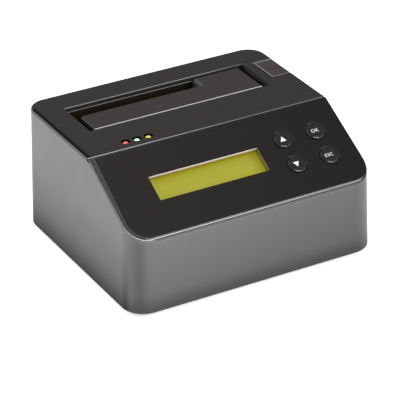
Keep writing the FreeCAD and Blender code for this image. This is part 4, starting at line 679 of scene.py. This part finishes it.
soft_rubber = grained("soft_rubber", (0.018, 0.018, 0.018), 0.75, 0.5, 0.4)
bright_steel = grained("bright_steel", (0.62, 0.61, 0.59), 0.3, 0.2, 0.1, Metallic=1.0)
green_board = grained("green_board", (0.015, 0.09, 0.035), 0.35, 0.6, 0.1, Coat_Weight=0.4)
socket_black = grained("socket_black", (0.022, 0.021, 0.021), 0.5, 0.3, 0.2)
gold_contact = grained("gold_contact", (0.83, 0.6, 0.2), 0.25, 0.2, 0.05, Metallic=1.0)
grey_ribbon = grained("grey_ribbon", (0.3, 0.31, 0.33), 0.6, 0.8, 0.2)
white_block = grained("white_block", (0.75, 0.75, 0.7), 0.6, 0.5, 0.1)
tongue_white = grained("tongue_white", (0.7, 0.7, 0.68), 0.45, 0.4, 0.1)
white_print = grained("white_print", (0.95, 0.95, 0.93), 0.5, 0.15, 0.05)
print("inner finishes made")

# %% [markdown]
# ## Giving every solid its finish
# Each solid keeps its shape and only swaps its material, so one table of names is enough.

# %% Assign finishes
FINISHES = {
    grey_housing: "main_housing",
    black_deck: "top_cover",
    black_flap: "drive_flap",
    black_key: "eject_button",
    black_guide: "bay_frame",
    black_plain: "bottom_cover eject_lever",
    gloss_sheet: "panel_overlay",
    key_gloss: "up_button down_button ok_button esc_button",
    rocker_gloss: "power_rocker",
    screen_glass: "lcd_glass",
    red_resin: "red_led",
    green_resin: "green_led",
    yellow_resin: "yellow_led",
    soft_rubber: "rubber_feet",
    bright_steel: "housing_screws bay_screws board_screws lcd_screws key_screws led_screws flap_pin "
                  "lever_pin flap_spring eject_spring usb_socket dc_pin lcd_bezel",
    green_board: "main_board lcd_board key_board led_board",
    socket_black: "controller_chip bridge_chip cable_headers sata_socket tact_switches up_plunger "
                  "down_plunger ok_plunger esc_plunger dc_jack power_switch",
    gold_contact: "sata_contacts",
    grey_ribbon: "panel_cable key_cable",
    white_block: "lcd_backlight",
    tongue_white: "usb_tongue",
}
dressed = set()
for finish, names in FINISHES.items():
    for name in names.split():
        nodes[name].data.materials.clear()
        nodes[name].data.materials.append(finish)
        dressed.add(name)
print("solids dressed:", len(dressed), "left:", sorted(set(nodes) - dressed))

# %% [markdown]
# ## Turning a node tree into a plain piece
# Repeated details are made with Geometry Nodes. A tree has named inputs for its sizes, ends in
# Realize Instances and Set Material, and its result is copied into an ordinary mesh.

# %% Geometry Nodes helpers


class Tree:
    """A Geometry Nodes tree with named inputs, built one node at a time."""

    def __init__(self, name, **inputs):
        self.group = bpy.data.node_groups.new(name, "GeometryNodeTree")
        self.values = {}
        for label, (kind, amount) in inputs.items():
            socket = self.group.interface.new_socket(label, in_out="INPUT",
                                                     socket_type="NodeSocket" + kind)
            self.values[socket.identifier] = amount
        self.group.interface.new_socket("Geometry", in_out="OUTPUT", socket_type="NodeSocketGeometry")
        self.entry = self.group.nodes.new("NodeGroupInput").outputs
        self.exit = self.group.nodes.new("NodeGroupOutput")

    def add(self, kind, **inputs):
        made = self.group.nodes.new("GeometryNode" + kind)
        for label, amount in inputs.items():
            socket = made.inputs[label.replace("_", " ")]
            if isinstance(amount, bpy.types.NodeSocket):
                self.group.links.new(amount, socket)
            else:
                socket.default_value = amount
        return made

    def finish(self, geometry):
        realised = self.add("RealizeInstances", Geometry=geometry)
        coated = self.add("SetMaterial", Geometry=realised.outputs[0], Material=self.entry["Finish"])
        self.group.links.new(coated.outputs[0], self.exit.inputs[0])

    def piece(self, name):
        """Runs the tree on an empty object and keeps its mesh as a plain piece."""
        stand = bpy.data.objects.new(name + "_tree", bpy.data.meshes.new(name + "_tree"))
        bpy.context.scene.collection.objects.link(stand)
        modifier = stand.modifiers.new("tree", "NODES")
        modifier.node_group = self.group
        for identifier, amount in self.values.items():
            modifier[identifier] = amount
        graph = bpy.context.evaluated_depsgraph_get()
        mesh = bpy.data.meshes.new_from_object(stand.evaluated_get(graph), depsgraph=graph)
        stand.modifiers.remove(modifier)
        bpy.data.objects.remove(stand)
        return as_piece(name, mesh)


def as_piece(name, mesh):
    mesh.name = name
    piece = bpy.data.objects.new(name, mesh)
    bpy.context.scene.collection.objects.link(piece)
    return piece


print("tree helpers ready")

# %% [markdown]
# ## Case screws
# Four screws hold the bottom plate. Each has a head with a cross recess, cut once by a boolean and
# then placed on the corners of a two-by-two grid.

# %% Case screws
HEAD_RADIUS = 2.7 * MM
HEAD_TAPER = 0.86
HEAD_HEIGHT = 1.2 * MM
SHANK_RADIUS = 1.3 * MM
RECESS_LENGTH = 3.4 * MM
RECESS_WIDTH = 0.75 * MM
RECESS_DEPTH = 1.4 * MM
screw_low, screw_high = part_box("housing_screws")
tree = Tree("cross_head_screws", Spread_X=("Float", screw_high.x - screw_low.x - 2 * HEAD_RADIUS),
            Spread_Y=("Float", screw_high.y - screw_low.y - 2 * HEAD_RADIUS),
            Finish=("Material", bright_steel))
spots = tree.add("MeshGrid", Size_X=tree.entry["Spread_X"], Size_Y=tree.entry["Spread_Y"],
                 Vertices_X=2, Vertices_Y=2)
head = tree.add("MeshCone", Vertices=32, Radius_Top=HEAD_RADIUS,
                Radius_Bottom=HEAD_RADIUS * HEAD_TAPER, Depth=HEAD_HEIGHT)
slots = tree.add("JoinGeometry")
for length, width in ((RECESS_LENGTH, RECESS_WIDTH), (RECESS_WIDTH, RECESS_LENGTH)):
    slot = tree.add("MeshCube", Size=(length, width, RECESS_DEPTH))
    tree.group.links.new(slot.outputs[0], slots.inputs[0])
cut = tree.add("MeshBoolean")
cut.operation = "DIFFERENCE"
tree.group.links.new(head.outputs[0], cut.inputs[0])
tree.group.links.new(slots.outputs[0], cut.inputs[1])
shank = tree.add("MeshCylinder", Vertices=20, Radius=SHANK_RADIUS,
                 Depth=screw_high.z - screw_low.z - HEAD_HEIGHT)
raised = tree.add("Transform", Geometry=shank.outputs[0],
                  Translation=(0, 0, (screw_high.z - screw_low.z + HEAD_HEIGHT) / 2))
whole = tree.add("JoinGeometry")
tree.group.links.new(cut.outputs[0], whole.inputs[0])
tree.group.links.new(raised.outputs[0], whole.inputs[0])
set_out = tree.add("InstanceOnPoints", Points=spots.outputs[0], Instance=whole.outputs[0])
middle = (screw_low + screw_high) / 2 * Vector((1, 1, 0))
placed = tree.add("Transform", Geometry=set_out.outputs[0],
                  Translation=middle + Vector((0, 0, screw_low.z)))
tree.finish(placed.outputs[0])
case_screws = tree.piece("case_screws")
print("case screws:", len(case_screws.data.polygons), "faces")

# %% Seat the case screws
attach(case_screws, "base")
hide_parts("housing_screws")
print("case screws ride on the base")

# %% [markdown]
# ## Grip dots on the eject key
# The key's top is set with rows of tiny raised dots, so that a finger does not slip; the dots are
# painted much lighter than the key, as a painted highlight. One low stud stands on every point of a
# grid, inside the key's rounded border.

# %% Grip dots
DOT_PITCH = 1.3
DOT_RADIUS = 0.42
DOT_TOP = 0.4
DOT_HEIGHT = 0.14
BORDER = 1.1
GRIP_RIGHT = 67.7
grip_low = Vector((key_low.x + BORDER, key_low.y + BORDER, 0))
grip_high = Vector((GRIP_RIGHT - BORDER, key_high.y - BORDER, 0))
span = grip_high - grip_low
tree = Tree("grip_dots", Across=("Int", int(span.x / DOT_PITCH) + 1),
            Along=("Int", int(span.y / DOT_PITCH) + 1), Finish=("Material", dot_highlights))
spots = tree.add("MeshGrid", Size_X=span.x * MM, Size_Y=span.y * MM, Vertices_X=tree.entry["Across"],
                 Vertices_Y=tree.entry["Along"])
dot = tree.add("MeshCone", Vertices=8, Radius_Top=DOT_TOP * DOT_RADIUS * MM,
               Radius_Bottom=DOT_RADIUS * MM, Depth=DOT_HEIGHT * MM)
set_out = tree.add("InstanceOnPoints", Points=spots.outputs[0], Instance=dot.outputs[0])
middle = (grip_low + grip_high) / 2 * MM
placed = tree.add("Transform", Geometry=set_out.outputs[0],
                  Translation=(middle.x, middle.y, key_high.z * MM))
tree.finish(placed.outputs[0])
grip_dots = tree.piece("grip_dots")
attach(grip_dots, "eject_key")
print("grip dots:", len(grip_dots.data.polygons), "faces")

# %% [markdown]
# ## Eject spring
# A coil pushes the eject key back up. Its lower end stays on the shelf of the guide; it is one fixed
# coil built in the place of the solid spring, which is hidden.

# %% Eject spring
WIRE_RADIUS = 0.3 * MM
COIL_TURNS = 4.0
coil_low, coil_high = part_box("eject_spring")
tree = Tree("coil_spring", Turns=("Float", COIL_TURNS),
            Radius=("Float", (coil_high.x - coil_low.x) / 2 - WIRE_RADIUS),
            Rise=("Float", coil_high.z - coil_low.z - 2 * WIRE_RADIUS), Wire=("Float", WIRE_RADIUS),
            Finish=("Material", bright_steel))
way = tree.add("CurveSpiral", Resolution=24, Rotations=tree.entry["Turns"],
               Start_Radius=tree.entry["Radius"], End_Radius=tree.entry["Radius"],
               Height=tree.entry["Rise"])
wire = tree.add("CurvePrimitiveCircle", Resolution=8, Radius=tree.entry["Wire"])
swept = tree.add("CurveToMesh", Curve=way.outputs[0], Profile_Curve=wire.outputs[0], Fill_Caps=True)
foot_of_coil = Vector((*((coil_low + coil_high) / 2).xy, coil_low.z + WIRE_RADIUS))
placed = tree.add("Transform", Geometry=swept.outputs[0], Translation=foot_of_coil)
tree.finish(placed.outputs[0])
coil_spring = tree.piece("coil_spring")
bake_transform(coil_spring)
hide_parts("eject_spring")
print("eject spring:", len(coil_spring.data.polygons), "faces")

# %% [markdown]
# ## Turned pieces
# The lamps' domes and the rubber feet are turned shapes: a half outline carried round an axis.

# %% Turning helper
ROUND_STEPS = 40
SHARP_ANGLE = math.radians(35)


def turned(shape, outline, centre):
    """Adds a half outline of radius and height, in millimetres, turned about an upright axis."""
    rings = []
    for radius, level in outline:
        ring = []
        for step in range(ROUND_STEPS if radius else 1):
            turn = step * math.tau / ROUND_STEPS
            ring.append(shape.verts.new(((centre[0] + radius * math.cos(turn)) * MM,
                                         (centre[1] + radius * math.sin(turn)) * MM, level * MM)))
        rings.append(ring)
    for low, high in zip(rings, rings[1:]):
        for step in range(ROUND_STEPS):
            after = (step + 1) % ROUND_STEPS
            corners = [low[step % len(low)], low[after % len(low)],
                       high[after % len(high)], high[step % len(high)]]
            shape.faces.new(dict.fromkeys(corners))


def closed_piece(name, shape, finish):
    """A mesh with its faces outwards and its rounds smooth, as a plain piece."""
    bmesh.ops.recalc_face_normals(shape, faces=shape.faces)
    mesh = bpy.data.meshes.new(name)
    shape.to_mesh(mesh)
    shape.free()
    mesh.materials.append(finish)
    mesh.shade_smooth()
    mesh.set_sharp_from_angle(angle=SHARP_ANGLE)
    return as_piece(name, mesh)


print("turning helper ready")

# %% Lamps
LAMP_RADIUS = 1.8
FLANGE_RADIUS = 2.1
FLANGE_HEIGHT = 0.8
LAMP_BODY = 4.4
LEAD_OUT = 1.27
LEAD_WIDTH = 0.5
DOME_ANGLES = [math.radians(angle) for angle in range(0, 90, 15)]
for colour, finish in (("red", red_resin), ("green", green_resin), ("yellow", yellow_resin)):
    low, high = (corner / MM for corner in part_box(colour + "_led"))
    middle = (low + high) / 2
    foot_level = high.z - LAMP_BODY
    flange_level = foot_level + FLANGE_HEIGHT
    dome = [(LAMP_RADIUS * math.cos(a), high.z - LAMP_RADIUS * (1 - math.sin(a))) for a in DOME_ANGLES]
    shape = bmesh.new()
    turned(shape, [(0, foot_level), (FLANGE_RADIUS, foot_level), (FLANGE_RADIUS, flange_level),
                   (LAMP_RADIUS, flange_level), *dome, (0, high.z)], (middle.x, middle.y))
    lead_size = (LEAD_WIDTH * MM, LEAD_WIDTH * MM, (foot_level - low.z) * MM, 1)
    for side in (-1, 1):
        centre = Vector((middle.x + side * LEAD_OUT, middle.y, (low.z + foot_level) / 2)) * MM
        lead = Matrix.Translation(centre) @ Matrix.Diagonal(lead_size)
        bmesh.ops.create_cube(shape, size=1.0, matrix=lead)
    lamp = closed_piece(colour + "_lamp", shape, finish)
    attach(lamp, "base")
    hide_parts(colour + "_led")
print("lamps turned")

# %% Feet
FOOT_RADIUS = 6.0
FOOT_ROUND = 1.0
FOOT_BEVEL = 0.3
foot_low, foot_high = (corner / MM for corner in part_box("rubber_feet"))
foot_outline = [(0, foot_low.z), (FOOT_RADIUS - FOOT_ROUND, foot_low.z),
                (FOOT_RADIUS - FOOT_BEVEL, foot_low.z + FOOT_BEVEL),
                (FOOT_RADIUS, foot_low.z + FOOT_ROUND), (FOOT_RADIUS, foot_high.z), (0, foot_high.z)]
shape = bmesh.new()
for x in (foot_low.x + FOOT_RADIUS, foot_high.x - FOOT_RADIUS):
    for y in (foot_low.y + FOOT_RADIUS, foot_high.y - FOOT_RADIUS):
        turned(shape, foot_outline, (x, y))
round_feet = closed_piece("round_feet", shape, soft_rubber)
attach(round_feet, "base")
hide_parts("rubber_feet")
print("feet turned")

# %% [markdown]
# ## Printed marks on the keys and the power switch
# The four keys carry a white triangle up, a triangle down and two short words, and the power switch a
# bar and a ring. A print has almost no height, so each mark is a flat mesh a few hundredths of a
# millimetre above its key. The marks stand a little left of the keys' middles.

# %% Print helpers
PRINT_LIFT = 0.03
CAPITAL_SHARE = 0.7
STROKE_WEIGHT = 0.004
LETTER_SPACING = 1.12
SAME_POINT = 0.001 * MM


def flat_mark(name, faces, place):
    """Flat faces, each a list of points across and up in millimetres, laid by a function of both."""
    shape = bmesh.new()
    for corners in faces:
        shape.faces.new([shape.verts.new(place(x, y)) for x, y in corners])
    bmesh.ops.remove_doubles(shape, verts=shape.verts, dist=SAME_POINT)
    mesh = bpy.data.meshes.new(name)
    shape.to_mesh(mesh)
    shape.free()
    mesh.materials.append(white_print)
    return as_piece(name, mesh)


def word_faces(word, height):
    """The faces of a short word, centred, in millimetres."""
    text = bpy.data.curves.new(word, "FONT")
    text.body = word
    text.align_x = "CENTER"
    text.align_y = "CENTER"
    text.size = height / CAPITAL_SHARE
    text.offset = STROKE_WEIGHT
    text.space_character = LETTER_SPACING
    text.resolution_u = 3
    holder = bpy.data.objects.new(word + "_text", text)
    bpy.context.scene.collection.objects.link(holder)
    graph = bpy.context.evaluated_depsgraph_get()
    mesh = holder.evaluated_get(graph).to_mesh()
    faces = [[tuple(mesh.vertices[index].co.xy) for index in face.vertices] for face in mesh.polygons]
    bpy.data.objects.remove(holder)
    return faces


print("print helpers ready")

# %% Key marks
KEY_PROUD = 0.5
MARK_SHIFT = -0.4
OK_HEIGHT = 2.0
ESC_HEIGHT = 1.9
TRIANGLE = ((-1.7, -1.25), (1.7, -1.25), (0.0, 1.65))
MARKS = {"up": [TRIANGLE], "down": [[(x, -y) for x, y in reversed(TRIANGLE)]],
         "ok": word_faces("OK", OK_HEIGHT), "esc": word_faces("ESC", ESC_HEIGHT)}
for key, faces in MARKS.items():
    across, up = KEYS[key]
    across += MARK_SHIFT
    lift = KEY_PROUD + PRINT_LIFT
    mark = flat_mark(key + "_mark", faces, lambda x, y: on_slope(across + x, up + y, lift))
    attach(mark, key + "_key")
print("key marks:", sorted(MARKS))

# %% Power switch marks
ROCKER_PIVOT = Vector((33.0, 55.546, 33.881)) * MM
ROCKER_TILT = math.radians(8.7)
ROCKER_TIP = (7.1, 3.75)
ROCKER_DISH = 1.2
BAR_HALF = 0.25
BAR_UP = (2.4, 5.0)
RING_RADII = (0.85, 1.35)
RING_DOWN = 3.7
RING_STEPS = 24


def on_rocker(x, z):
    """A point on the rocker's face, across and up in millimetres, seen from behind the dock."""
    depth = ROCKER_TIP[1] - ROCKER_DISH * (1 - abs(z) / ROCKER_TIP[0]) + PRINT_LIFT
    return ROCKER_PIVOT + Matrix.Rotation(ROCKER_TILT, 3, "X") @ (Vector((-x, depth, z)) * MM)


bar = [[(-BAR_HALF, BAR_UP[0]), (BAR_HALF, BAR_UP[0]), (BAR_HALF, BAR_UP[1]), (-BAR_HALF, BAR_UP[1])]]
angles = [step * math.tau / RING_STEPS for step in range(RING_STEPS + 1)]
inner, outer = RING_RADII
ring = [[(radius * math.sin(angle), radius * math.cos(angle) - RING_DOWN)
         for radius, angle in ((outer, b), (outer, a), (inner, a), (inner, b))]
        for a, b in zip(angles, angles[1:])]
switch_marks = flat_mark("switch_marks", bar + ring, on_rocker)
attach(switch_marks, "rocker")
print("power switch marks set")

# %% [markdown]
# ## Floor, light and camera
# A pale floor runs under the dock and far behind it and glows a little, so that it stays white. One
# soft light stands at the left and behind, one at the right of the front, so the round corner between
# them turns dark, and the band of painted shade on the housing deepens it; a wide one hangs above. The
# camera stands where the picture was taken: to the left, well above, and far away with a long lens.

# %% Floor
FLOOR_HALF = 6.0
FLOOR_GLOW = 0.62
pale_floor, shader = new_finish("pale_floor", (0.95, 0.95, 0.95), 0.9, Specular_IOR_Level=0.1)
shader.inputs["Emission Color"].default_value = (1.0, 1.0, 1.0, 1.0)
shader.inputs["Emission Strength"].default_value = FLOOR_GLOW
floor_mesh = bpy.data.meshes.new("floor")
shape = bmesh.new()
bmesh.ops.create_grid(shape, x_segments=1, y_segments=1, size=FLOOR_HALF)
shape.to_mesh(floor_mesh)
shape.free()
floor_mesh.materials.append(pale_floor)
floor = as_piece("floor", floor_mesh)
print("floor laid")

# %% Lights
WORLD_LIGHT = 0.5
world = bpy.data.worlds.new("studio")
bpy.context.scene.world = world
world.use_nodes = True
background = world.node_tree.nodes["Background"]
background.inputs["Color"].default_value = (1.0, 1.0, 1.0, 1.0)
background.inputs["Strength"].default_value = WORLD_LIGHT
TARGET = Vector((0.0, 0.0, 35 * MM))
LIGHTS = {
    "left_soft": ((-0.8, 0.8, 0.5), 0.6, 5.2),
    "front_soft": ((1.0, -1.05, 0.75), 0.8, 16.0),
    "top_soft": ((-0.3, 0.3, 1.4), 0.9, 8.0),
}
for name, (spot, size, power) in LIGHTS.items():
    lamp = bpy.data.lights.new(name, "AREA")
    lamp.shape = "SQUARE"
    lamp.size = size
    lamp.energy = power
    stand = bpy.data.objects.new(name, lamp)
    bpy.context.scene.collection.objects.link(stand)
    stand.location = spot
    stand.rotation_euler = (TARGET - Vector(spot)).to_track_quat("-Z", "Y").to_euler()
print("lights:", sorted(LIGHTS))

# %% Camera
YAW = math.radians(28.91)
PITCH = math.radians(28.41)
ROLL = math.radians(-0.83)
DISTANCE = 1238.5 * MM
SHIFT_RIGHT = 0.75 * MM
SHIFT_UP = 16.33 * MM
LENS = 216.1
SENSOR = 36.0
FOOT_HEIGHT = 1.8 * MM
back = Vector((-math.sin(YAW) * math.cos(PITCH), -math.cos(YAW) * math.cos(PITCH), math.sin(PITCH)))
level = Vector((0, 0, 1)).cross(back).normalized()
upright = back.cross(level)
right = level * math.cos(ROLL) + upright * math.sin(ROLL)
up = upright * math.cos(ROLL) - level * math.sin(ROLL)
lens = bpy.data.cameras.new("picture_camera")
lens.sensor_width = SENSOR
lens.lens = LENS
camera = bpy.data.objects.new("picture_camera", lens)
bpy.context.scene.collection.objects.link(camera)
spot = right * SHIFT_RIGHT + up * SHIFT_UP + back * DISTANCE + Vector((0, 0, FOOT_HEIGHT))
camera.matrix_world = Matrix.Translation(spot) @ Matrix((right, up, back)).transposed().to_4x4()
bpy.context.scene.camera = camera
bpy.context.scene.view_settings.view_transform = "Standard"
print("camera at", [round(v, 3) for v in spot])
